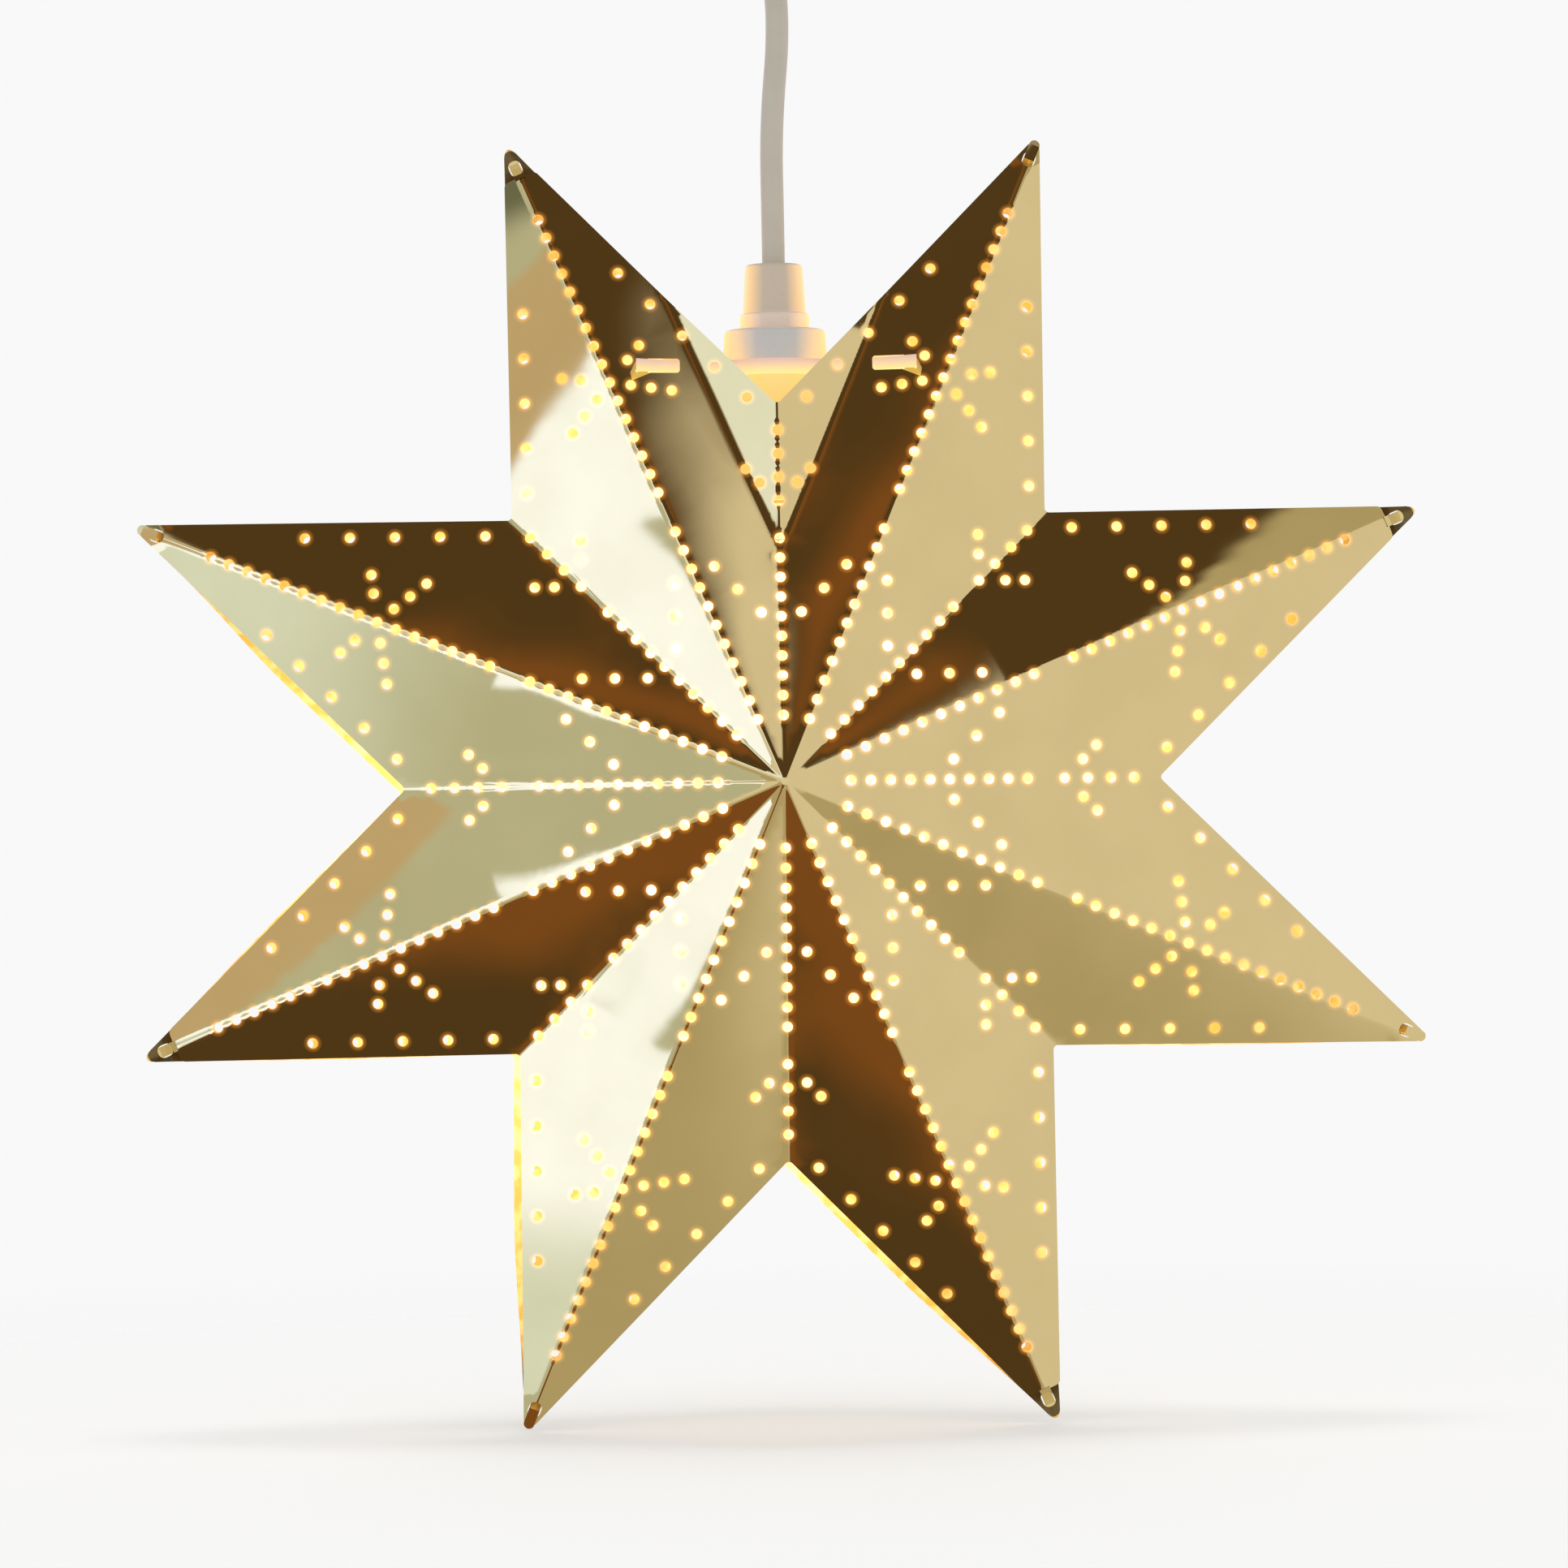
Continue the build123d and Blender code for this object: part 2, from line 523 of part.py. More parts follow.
def bracket_arm():
    """Plan of one hooked arm, to the right and the front: through the slot, hook pointing outwards."""
    tip_x = SLOT_OUTER_X - SLOT_CLEARANCE
    hook_y = shell_depth(ARM_MIDDLE, HOOK_START_X)
    corner_y = shell_depth(ARM_MIDDLE, tip_x) + SHEET + HOOK_STAND_OUT
    slant = (corner_y - hook_y) / (tip_x - HOOK_START_X)
    behind_y = shell_depth(ARM_MIDDLE, SLOT_INNER_X) - 2 * SLOT_CLEARANCE
    behind_x = HOOK_START_X - (hook_y - behind_y) / slant
    root = BRACKET_RING_DIAMETER / 2 - BODY_WALL
    root_x, root_y = polar(root, ARM_ROOT_DEG)
    plan = Polyline(
        (root_x, -root_y),
        (behind_x, -behind_y),
        (tip_x, -corner_y),
        (tip_x, -corner_y + HOOK_STAND_OUT + SHEET + ARM_BACK_DEPTH),
        (root, -root_y + ARM_ROOT_WIDTH),
        close=True,
    )
    low = lamp(ARM_MIDDLE) - ARM_THICKNESS / 2
    return Pos(0, 0, low) * extrude(make_face(plan), ARM_THICKNESS)


def holder_bracket():
    """Ring under the collar with four hooked arms, two for each shell."""
    bore = SPIGOT_DIAMETER / 2 + SCREWED_CLEARANCE
    ring = upright(BRACKET_RING_DIAMETER / 2, lamp(BRACKET_FOOT), lamp(COLLAR_FOOT))
    arm = bracket_arm()
    pair = arm + mirror(arm, Plane.YZ)
    ring = ring + pair + mirror(pair, Plane.XZ)
    return ring - upright(bore, lamp(BRACKET_FOOT), lamp(COLLAR_FOOT))


def bulb_cap():
    """Threaded cap: rolled rings stand for the thread, a shoulder at its foot holds the glass."""
    crest = CAP_THREAD_DIAMETER / 2
    root = crest - CAP_THREAD_DEPTH
    points = [(root, lamp(CAP_TOP))]
    for turn in range(CAP_THREAD_TURNS):
        height = lamp(CAP_TOP - turn * CAP_THREAD_PITCH)
        points.append((root, height - CAP_THREAD_PITCH * THREAD_RISE))
        points.append((crest, height - CAP_THREAD_PITCH * THREAD_CREST))
        points.append((crest, height - CAP_THREAD_PITCH * (1 - THREAD_CREST)))
        points.append((root, height - CAP_THREAD_PITCH * (1 - THREAD_RISE)))
    foot = lamp(CAP_TOP - CAP_LENGTH)
    bore = GLASS_NECK_DIAMETER / 2 + TURNING_CLEARANCE
    points += [(bore + CAP_WALL_THICKNESS, foot), (bore, foot), (bore, lamp(CAP_TOP))]
    return turned(points)


def cap_insulator():
    """Black glass cone between the cap and its centre contact."""
    wide = GLASS_NECK_DIAMETER / 2 - CAP_THREAD_DEPTH
    return turned([
        (0, lamp(CAP_TOP - CAP_WALL_THICKNESS)),
        (wide, lamp(CAP_TOP - CAP_WALL_THICKNESS)),
        (wide, lamp(CAP_TOP) + TURNING_CLEARANCE),
        (EYELET_DIAMETER / 2, lamp(CAP_TOP + INSULATOR_HEIGHT)),
        (0, lamp(CAP_TOP + INSULATOR_HEIGHT)),
    ])


def cap_eyelet():
    """Centre contact of the bulb, a low solder dome."""
    base = lamp(CAP_TOP + INSULATOR_HEIGHT)
    dome = upright(EYELET_DIAMETER / 2, base, base + EYELET_HEIGHT)
    return fillet(dome.edges().group_by(Axis.Z)[-1], EYELET_ROUND)


def glass_section(shrink):
    """Half section of the candle-shaped glass, made smaller all round by a wall."""
    top = lamp(GLASS_TOP)
    neck = GLASS_NECK_DIAMETER / 2 - shrink
    wide = GLASS_DIAMETER / 2 - shrink
    tip = GLASS_TIP_DIAMETER / 2 - shrink
    foot = top - GLASS_LENGTH + shrink
    start = (neck, top - GLASS_SEAT - CAP_SHOULDER)
    widest = (wide, top - GLASS_WIDEST)
    lean = (-GLASS_TIP_LEAN, -1)
    shoulder = Spline(start, widest, tangents=[(0, -1), (0, -1)])
    belly = Spline(widest, (tip, foot + tip), tangents=[(0, -1), lean])
    nose = Spline((tip, foot + tip), (0, foot), tangents=[lean, (-1, 0)])
    walls = Polyline((0, foot), (0, top), (neck, top), start)
    return make_face(Plane.XZ * Curve([shoulder, belly, nose, walls]))


def bulb_glass():
    """Candle-shaped envelope, hollow, closed round its stem at the neck."""
    outside = revolve(glass_section(0.0), Axis.Z)
    inside = revolve(glass_section(GLASS_WALL), Axis.Z)
    keep = lamp(GLASS_TOP) - GLASS_WALL
    inside &= upright(GLASS_DIAMETER, keep - GLASS_LENGTH, keep)
    return outside - inside


def bulb_stem():
    """Glass stem in the middle of the bulb, from the neck's roof down."""
    top = lamp(GLASS_TOP) - GLASS_WALL
    stem = upright(STEM_DIAMETER / 2, top - STEM_LENGTH, top)
    return fillet(stem.edges().group_by(Axis.Z)[0], STEM_ROUND)


def filament_places():
    """Upper and lower end of each filament stick."""
    top = lamp(GLASS_TOP) - GLASS_WALL - STEM_LENGTH - FILAMENT_GAP
    places = []
    for index in range(FILAMENT_COUNT):
        x, y = polar(FILAMENT_CIRCLE / 2, 360 / FILAMENT_COUNT * (index + 0.5))
        places.append(((x, y, top), (x, y, top - FILAMENT_LENGTH)))
    return places


def bulb_filaments():
    """Upright filament sticks on a circle."""
    return Compound([bar_between(FILAMENT_DIAMETER / 2, low, high) for high, low in filament_places()])


def filament_wires():
    """Wires from the stem's end to the filaments' upper ends, and a hub that ties their lower ends."""
    stem_end = lamp(GLASS_TOP) - GLASS_WALL - STEM_LENGTH
    filament_end = stem_end - FILAMENT_GAP - FILAMENT_LENGTH
    centre_low = (0, 0, filament_end - WIRE_DIAMETER / 2)
    post = bar_between(WIRE_DIAMETER / 2, (0, 0, stem_end), centre_low)
    for high, low in filament_places():
        reach = (high[0], high[1], high[2] + WIRE_DIAMETER / 2)
        post += bar_between(WIRE_DIAMETER / 2, (0, 0, reach[2]), reach)
        reach = (low[0], low[1], centre_low[2])
        post += bar_between(WIRE_DIAMETER / 2, centre_low, reach)
    return post


def cord():
    """Round cord on straight runs joined by arcs as large as the runs allow."""
    points = [Vector(*point) for point in CORD_ROUTE]
    radii = []
    for before, corner, after in zip(points, points[1:], points[2:]):
        turn = radians((corner - before).get_angle(after - corner))
        shorter = min((corner - before).length, (after - corner).length)
        radii.append(ROUTE_ARC_SHARE * shorter / tan(turn / 2))
    print("cord radii", [round(radius, 1) for radius in radii])
    path = FilletPolyline(*points, radius=radii)
    section = Plane(points[0], z_dir=points[1] - points[0]) * Circle(CORD_DIAMETER / 2)
    tube = sweep(section, path)
    expected = pi * CORD_DIAMETER ** 2 / 4 * path.length
    print("cord length", round(path.length, 2), "volume ratio", round(tube.volume / expected, 5))
    return tube


def ceiling_cup():
    """Bell-shaped cover with a round hole in its floor for the swivel bush."""
    straight = [(CUP_DIAMETER / 2, 2 * CUP_WALL), (CUP_DIAMETER / 2, -CUP_STRAIGHT)]
    outer = straight + [(CUP_MOUTH_DIAMETER / 2, -CUP_HEIGHT), (0, -CUP_HEIGHT)]
    corners = range(1, len(outer) - 1)
    inner = [(CUP_DIAMETER / 2 - CUP_WALL, 2 * CUP_WALL)]
    inner += [side_corner(outer[i - 1], outer[i], outer[i + 1], -CUP_WALL) for i in corners]
    inner += [(0, CUP_FLOOR_Z)]
    rounds = [CUP_SHOULDER_ROUND, CUP_MOUTH_ROUND]
    solids = []
    for points, shrink in ((outer, 0.0), (inner, CUP_WALL)):
        wall = FilletPolyline(*points, radius=[radius - shrink for radius in rounds])
        closing = Polyline(points[-1], (0, 2 * CUP_WALL), points[0])
        solids.append(revolve(make_face(Plane.XZ * Curve([wall, closing])), Axis.Z))
    cup = solids[0] - solids[1] - upright(CUP_DIAMETER, 0, 3 * CUP_WALL)
    cup -= upright(BUSH_DIAMETER / 2 + RUNNING_CLEARANCE, -CUP_HEIGHT, CUP_FLOOR_Z)
    hole = Solid.make_cylinder(
        CUP_SCREW_DIAMETER / 2, CUP_DIAMETER, Plane((-CUP_DIAMETER / 2, 0, CUP_SCREW_Z), z_dir=(1, 0, 0))
    )
    return cup - hole


def tab_face_x():
    """Outer face of the bar's bent ends, just inside the cup's round wall."""
    inner = CUP_DIAMETER / 2 - CUP_WALL - TAB_CLEARANCE
    return (inner ** 2 - (PLATE_WIDTH / 2) ** 2) ** 0.5


def ceiling_plate():
    """Flat bar for two ceiling screws, its ends bent down inside the cup."""
    reach = tab_face_x()
    bend = PLATE_THICKNESS / 2
    tab = reach - bend
    middle = [(-tab, -TAB_HEIGHT), (-tab, -bend), (tab, -bend), (tab, -TAB_HEIGHT)]
    section = make_face(Plane.XZ * Polyline(*band(middle, PLATE_THICKNESS), close=True))
    plate = extrude(section, PLATE_WIDTH / 2, both=True)
    for side in (-1, 1):
        plate -= upright(PLATE_HOLE_DIAMETER / 2, -PLATE_THICKNESS, 0, side * PLATE_HOLE_SPACING / 2)
    hole = Solid.make_cylinder(
        CUP_SCREW_DIAMETER / 2, CUP_DIAMETER, Plane((-CUP_DIAMETER / 2, 0, CUP_SCREW_Z), z_dir=(1, 0, 0))
    )
    return plate - hole


def cup_screws():
    """Two screws from outside the cup into the bar's bent ends."""
    head_x = CUP_DIAMETER / 2
    tip_x = tab_face_x() - PLATE_THICKNESS - CUP_SCREW_PAST_TAB
    shank = bar_between(CUP_SCREW_DIAMETER / 2, (tip_x, 0, CUP_SCREW_Z), (head_x, 0, CUP_SCREW_Z))
    head_end = (head_x + CUP_SCREW_HEAD_HEIGHT, 0, CUP_SCREW_Z)
    head = bar_between(CUP_SCREW_HEAD_DIAMETER / 2, (head_x, 0, CUP_SCREW_Z), head_end)
    head = fillet(head.edges().group_by(Axis.X)[-1], CUP_SCREW_HEAD_ROUND)
    slot = Pos(*head_end) * Box(CUP_SCREW_HEAD_HEIGHT, CUP_SCREW_HEAD_DIAMETER, CUP_SCREW_DIAMETER / 4)
    screw = shank + head - slot
    return Compound([screw, mirror(screw, Plane.YZ)])


def pin_pair(inner, outer, along_x):
    """Two short pins on one line through the pivot, mirrored about it."""
    pins = []
    for side in (-1, 1):
        start = (side * inner, 0, PIVOT_Z) if along_x else (0, side * inner, PIVOT_Z)
        end = (side * outer, 0, PIVOT_Z) if along_x else (0, side * outer, PIVOT_Z)
        pins.append(bar_between(PIVOT_PIN_DIAMETER / 2, start, end))
    return pins


def pivot_hole(radius, along_x):
    """Straight bore through the pivot, long enough for any of the pieces round it."""
    reach = BUSH_DIAMETER
    start = (-reach, 0, PIVOT_Z) if along_x else (0, -reach, PIVOT_Z)
    end = (reach, 0, PIVOT_Z) if along_x else (0, reach, PIVOT_Z)
    return bar_between(radius, start, end)


def swivel_bush():
    """Flanged bush in the cup's mouth; the flange rests on the cup's floor."""
    seat = CUP_FLOOR_Z + SEAT_CLEARANCE
    bush = upright(BUSH_DIAMETER / 2, BUSH_FOOT_Z, seat)
    bush += upright(BUSH_FLANGE_DIAMETER / 2, seat, seat + BUSH_FLANGE_HEIGHT)
    bush -= upright(BUSH_BORE / 2, BUSH_FOOT_Z, seat + BUSH_FLANGE_HEIGHT)
    return bush - pivot_hole(PIVOT_PIN_DIAMETER / 2, along_x=False)


def bush_ring():
    """Ring on the bush below the cup."""
    top = -CUP_HEIGHT - SEAT_CLEARANCE
    ring = upright(BUSH_RING_DIAMETER / 2, top - BUSH_RING_HEIGHT, top)
    ring = fillet(ring.edges().group_by(Axis.Z)[0], BUSH_RING_ROUND)
    return ring - upright(BUSH_DIAMETER / 2, top - BUSH_RING_HEIGHT, top)


def sway_pins():
    """Pins along Y, fixed in the bush, on which the gimbal ring turns."""
    inner = GIMBAL_OUTER_DIAMETER / 2 - PIVOT_PIN_BITE
    return Compound(pin_pair(inner, BUSH_DIAMETER / 2 - PIN_SINK, along_x=False))


def gimbal_ring():
    """Ring between the bush and the cord grip."""
    low = PIVOT_Z - GIMBAL_HEIGHT / 2
    ring = upright(GIMBAL_OUTER_DIAMETER / 2, low, low + GIMBAL_HEIGHT)
    ring -= upright(GIMBAL_INNER_DIAMETER / 2, low, low + GIMBAL_HEIGHT)
    ring -= pivot_hole(PIVOT_PIN_DIAMETER / 2, along_x=True)
    return ring - pivot_hole(PIVOT_PIN_DIAMETER / 2 + RUNNING_CLEARANCE, along_x=False)


def swing_pins():
    """Pins along X, fixed in the gimbal ring, on which the cord grip turns."""
    inner = GRIP_DIAMETER / 2 - PIVOT_PIN_BITE
    return Compound(pin_pair(inner, GIMBAL_OUTER_DIAMETER / 2 - PIN_SINK, along_x=True))


def cord_grip():
    """Barrel round the cord, with a bore for its pivot pins and a threaded hole for its screw."""
    low = PIVOT_Z - GRIP_BELOW
    high = PIVOT_Z + GRIP_ABOVE
    barrel = upright(GRIP_DIAMETER / 2, low, high)
    barrel -= upright(CORD_DIAMETER / 2 + CORD_CLEARANCE, low, high)
    barrel -= pivot_hole(PIVOT_PIN_DIAMETER / 2 + RUNNING_CLEARANCE, along_x=True)
    return barrel - grip_screw_space()


def grip_screw_space():
    """Bore of the set screw, from the front of the barrel to the cord."""
    height = PIVOT_Z + GRIP_SCREW_HEIGHT
    return bar_between(GRIP_SCREW_DIAMETER / 2, (0, -GRIP_DIAMETER, height), (0, -CORD_DIAMETER / 2, height))


def grip_screw():
    """Headless screw that presses on the cord."""
    height = PIVOT_Z + GRIP_SCREW_HEIGHT
    start = (0, -GRIP_DIAMETER / 2, height)
    end = (0, -CORD_DIAMETER / 2 - CORD_CLEARANCE / 3, height)
    screw = bar_between(GRIP_SCREW_DIAMETER / 2, start, end)
    return screw - Pos(*start) * Box(GRIP_SCREW_DIAMETER, 2 * SCREW_SLOT_DEPTH, GRIP_SCREW_DIAMETER / 5)


def terminal_foot_z():
    """Underside of the terminal block above the cord's upper end."""
    return CORD_ROUTE[0][2] + TERMINAL_RISE


def top_cores():
    """The cord's two cores, from its upper end into the terminal block."""
    cores = []
    for side in (-1, 1):
        start = (side * CORE_SPACING / 2, 0, CORD_ROUTE[0][2])
        end = (side * TERMINAL_SPACING / 2, 0, terminal_foot_z())
        core = bar_between(CORE_DIAMETER / 2, start, end)
        core &= upright(TERMINAL_SIZE[0], start[2], end[2])
        cores.append(core)
    return Compound(cores)


def terminal_block():
    """Two-way terminal block on the cord's cores, with wire holes and screw holes."""
    width, depth, height = TERMINAL_SIZE
    middle = terminal_foot_z() + height / 2
    block = Pos(0, 0, middle) * Box(width, depth, height)
    block = fillet(block.edges().filter_by(Axis.Z), depth / 8)
    for side in (-1, 1):
        x = side * TERMINAL_SPACING / 2
        block -= upright(TERMINAL_BORE / 2, middle, middle + height, x)
        block -= bar_between(TERMINAL_SCREW_DIAMETER / 2, (x, 0, middle), (x, -depth, middle))
    return block


def terminal_screws():
    """Screws in the terminal block's front, a little sunk."""
    middle = terminal_foot_z() + TERMINAL_SIZE[2] / 2
    front = TERMINAL_SCREW_SINK - TERMINAL_SIZE[1] / 2
    screws = []
    for side in (-1, 1):
        x = side * TERMINAL_SPACING / 2
        screw = bar_between(TERMINAL_SCREW_DIAMETER / 2, (x, 0, middle), (x, front, middle))
        slot = Box(TERMINAL_SCREW_DIAMETER, 2 * SCREW_SLOT_DEPTH, TERMINAL_SCREW_DIAMETER / 4)
        screws.append(screw - Pos(x, front, middle) * slot)
    return Compound(screws)


def all_nodes():
    """Every piece by its name."""
    front = star_shell()
    return {
        "ceiling_plate": ceiling_plate(),
        "ceiling_cup": ceiling_cup(),
        "cup_screws": cup_screws(),
        "swivel_bush": swivel_bush(),
        "bush_ring": bush_ring(),
        "sway_pins": sway_pins(),
        "gimbal_ring": gimbal_ring(),
        "swing_pins": swing_pins(),
        "cord_grip": cord_grip(),
        "grip_screw": grip_screw(),
        "top_cores": top_cores(),
        "terminal_block": terminal_block(),
        "terminal_screws": terminal_screws(),
        "cord": cord(),
        "holder_cap": holder_cap(),
        "cord_clamp": cord_clamp(),
        "holder_cores": holder_cores(),
        "contact_block": contact_block(),
        "contact_screws": contact_screws(),
        "screw_shell": screw_shell(),
        "centre_contact": centre_contact(),
        "holder_bracket": holder_bracket(),
        "holder_body": holder_body(),
        "front_shell": front,
        "back_shell": Rot(0, 0, 180) * front,
        "bulb_cap": bulb_cap(),
        "cap_insulator": cap_insulator(),
        "cap_eyelet": cap_eyelet(),
        "bulb_glass": bulb_glass(),
        "bulb_stem": bulb_stem(),
        "bulb_filaments": bulb_filaments(),
        "filament_wires": filament_wires(),
    }


def main():
    os.makedirs("parts", exist_ok=True)
    for name, solid in all_nodes().items():
        export_step(solid, f"parts/{name}.step")


main()
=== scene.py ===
from math import atan2, cos, hypot, pi, radians, sin, tan

import bpy
import numpy as np
from mathutils import Matrix, Vector
from mathutils.geometry import delaunay_2d_cdt
from mathutils.kdtree import KDTree


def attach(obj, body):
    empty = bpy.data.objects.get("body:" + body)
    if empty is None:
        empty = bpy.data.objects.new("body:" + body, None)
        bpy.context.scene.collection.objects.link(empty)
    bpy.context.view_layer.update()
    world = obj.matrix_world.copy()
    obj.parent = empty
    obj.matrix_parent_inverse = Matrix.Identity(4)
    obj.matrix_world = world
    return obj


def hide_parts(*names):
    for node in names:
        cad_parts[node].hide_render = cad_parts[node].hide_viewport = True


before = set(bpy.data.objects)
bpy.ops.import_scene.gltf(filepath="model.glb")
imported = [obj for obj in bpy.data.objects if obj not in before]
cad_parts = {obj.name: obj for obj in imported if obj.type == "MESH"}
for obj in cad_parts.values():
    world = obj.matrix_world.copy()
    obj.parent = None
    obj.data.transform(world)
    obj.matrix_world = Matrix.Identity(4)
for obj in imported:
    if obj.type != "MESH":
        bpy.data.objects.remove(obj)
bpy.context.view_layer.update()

MM = 0.001

# Star shells, in millimetres, the same values as in the part's source
POINT_COUNT = 8
HALF_STEP = 180.0 / POINT_COUNT  # degrees from a valley to the ridge beside it
TIP_RADIUS = 181.6
TIP_ROUND = 1.8
TIP_SHARPENING = 1.6  # unrounded corner past the rounded end, as a share of the rounding
TIP_SHARP = TIP_RADIUS + TIP_SHARPENING * TIP_ROUND
TIP_DEPTH = 0.15
NOTCH_RADIUS = 98.3
NOTCH_ROUND = 1.2
NOTCH_DEPTH = 13.5
APEX_DEPTH = 56.0
SHEET = 0.5
STAR_CENTRE_Z = -285.0
TONGUE_WIDTH = 2.8
TONGUE_SETBACK = 8.0  # a point with a tongue ends this much short of a full point
TONGUE_OVERHANG = 0.4  # folded tongue past the end of the point
SHOULDER_ROUND = 1.5
TIP_HOLE = (4.1, 3.4, 1.53)  # length, width, rounding
TIP_HOLE_SETBACK = 4.9
FOLD_CLEARANCE = 0.12  # between a folded tongue and the shell under it
SLOT_X = (25.1, 36.7)
SLOT_Y = 109.15
SLOT_HEIGHT = 3.8
SLOT_ROUND = 0.8

# Punched holes, in millimetres and degrees, the same values as in the part's source
HOLE_RADIUS = 1.35
RIM_HOLES = (4.1, 6.9, 11.85, 5)  # inset, first, pitch, count
CHEVRON_HOLES = (26.8, 34.8, 8.45, 3)
RIDGE_ROWS = ((160.9, 5.3, 16), (70.2, 5.3, 11))  # first, pitch, count
VALLEY_ROWS = ((91.5, 6.2, 4), (63.1, 5.13, 10))
FORK_INDEX = 3  # the outer valley hole that the fork stands on
FORK_HOLES = (6.9, 12.0)
FORK_SPOKE = 45.0
FLAKE_INDEX = 9  # the outer ridge hole that the snowflake stands on
FLAKE_SPOKES = ((-60.0, (7.6, 12.6)), (-120.0, (5.5, 10.8, 16.2)))  # direction and holes

# Slopes of a shell's planes
STEP_COS = cos(radians(HALF_STEP))
STEP_SIN = sin(radians(HALF_STEP))
RIDGE_SLOPE = (APEX_DEPTH - TIP_DEPTH) / TIP_SHARP
VALLEY_SLOPE = (APEX_DEPTH - NOTCH_DEPTH) / NOTCH_RADIUS
VALLEY_SIDE = (VALLEY_SLOPE * STEP_COS - RIDGE_SLOPE) / STEP_SIN  # rise on both sides of a valley
RIDGE_SIDE = VALLEY_SLOPE * STEP_SIN + VALLEY_SIDE * STEP_COS  # fall on both sides of a ridge

# How the folded sheet differs from flat planes, in millimetres
RIDGE_SOFTNESS = 0.45
VALLEY_SOFTNESS = (0.5, 1.6)  # at the centre and at the notch
FACET_BOW = 0.25
BOW_WIDTH = 20.0  # a narrower facet bows less
POP_VALLEY = 90.0  # the top valley is popped outwards beyond a place, in a wedge that grows outwards
POP_START = 60.0
POP_SPREAD = 0.42  # half width of the wedge for each millimetre beyond its start
POP_SOFTNESS = 0.8
POP_CREASE = 0.15
BACK_SHIFT = (-2.6, -0.9)  # how far the back shell has slipped sideways and down on its tongues
BACK_SHIFT_FADE = (130.0, 182.0)  # distances from the centre between which that ends
BACK_SHIFT_HELD = (30.0, 75.0)  # heights between which the bracket's hooks stop it
PAD_REACH = (173.0, 176.0)  # where the flattened end of a full point starts and is full
PAD_FLATNESS = 0.15
WAVES = ((0.035, 47.0, 20.0), (0.03, 38.0, 75.0), (0.02, 29.0, 130.0))  # height, length, direction

# Meshing of a shell, in millimetres
HOLE_SIDES = 16
HALO_RINGS = ((0.45, 0.3), (1.2, 0.0))  # distance from a hole's edge and the light there
HALO_MARGIN = 0.15
HALO_CLEAR = HOLE_RADIUS + HALO_RINGS[-1][0] + HALO_MARGIN  # what other places keep from a hole's middle
FOLD_PITCH = 1.3
FOLD_OFFSETS = (0.0, 0.35, 0.9, 2.0)
FOLD_SHARE = 0.4  # of the way to the next fold, which the rows beside a fold may take
FOLD_RIM_MARGIN = 0.8
FOLD_CUT_MARGIN = 0.5
POP_FIRST_ROW = 4
GRID_PITCH = 6.0
GRID_LINES = int(TIP_RADIUS / GRID_PITCH) + 1  # on each side of the middle
GRID_SPACE = 0.45 * GRID_PITCH  # distance that a place of the grid keeps from all others
GRID_RIM_MARGIN = 2.0
GRID_HALO_MARGIN = 0.8
SLOPE_STEP = 0.02
TINY = 1e-6
MERGE_DISTANCE = 1e-5
NOT_CUT = -1  # marks a place that is on no cut edge
TONGUE_START = 1.0  # length of tongue inside its own shell
TONGUE_END_STEPS = 5
TONGUE_END_HALF_WIDTH = 0.25
OUTSIDE, INSIDE, EDGE = range(3)  # a shell's materials

# Cord, in millimetres, the route of the part's source
CORD_ROUTE = ((0, 0, -44), (0, 0, -64), (2.6, 0, -84), (-0.2, 0, -112), (0, 0, -138), (0, 0, -161))
CORD_DIAMETER = 6.0

# The bulb's light on the shells' inside, and painted shade deep in its points, in millimetres from the star's
# centre
LIT_COLOUR_REACH = (50.0, 130.0)
LIT_LEVEL_REACH = (50.0, 140.0)
LIT_END_REACH = (158.0, 170.0)
POINT_SHADE_REACH = (162.0, 172.0)

# The bulb's light on the lampholder, in millimetres above the star's centre
CAP_RING_START = (118.6, 119.4)  # the cap's colour changes from its collar to its ring
CAP_NECK_START = (123.3, 124.3)  # and from its ring to its neck
BRACKET_LIT = (107.6, 110.7)  # the light's colour changes from the lower to the upper one
BODY_LIT = (98.0, 107.0)
CAP_LIT_FACING = (0.38, 0.95)  # share of sideways in the cap's facing, from where its sides glow
LIT_BASE = (0.15, 0.13, 0.10, 1.0)
LIT_STRENGTH = 0.95

# Depth of the grain and marks in the materials, in metres
SWIRL_DEPTH = 0.0015
GRAIN_DEPTH = 0.00004
FINE_DEPTH = 0.00003

# Camera: distance and clip end in metres, directions from the star's axis in degrees, the rest in millimetres
CAMERA_DISTANCE = 1.5
CAMERA_LEFT = 0.795
CAMERA_BELOW = 0.586
CAMERA_ROLL = -0.933
CAMERA_LENS = 130.8
CAMERA_SENSOR = 36.0
CAMERA_CLIP_END = 20.0
CAMERA_AIM = (0.52, 0.0, STAR_CENTRE_Z - 0.13)

# Tones of the studio's cards
STUDIO_WALL = (0.93, 0.89, 0.89)
WINDOW = (1.4, 1.65, 2.8)
PALE = (0.95, 1.16, 1.58)
BRIGHT = (1.10, 1.28, 1.75)
COOL = (0.66, 0.73, 0.78)
TAN = (0.73, 0.61, 0.51)
SAND = (0.60, 0.54, 0.42)
OLIVE = (0.20, 0.23, 0.22)
BROWN = (0.11, 0.067, 0.03)
EMBER = (0.27, 0.11, 0.035)

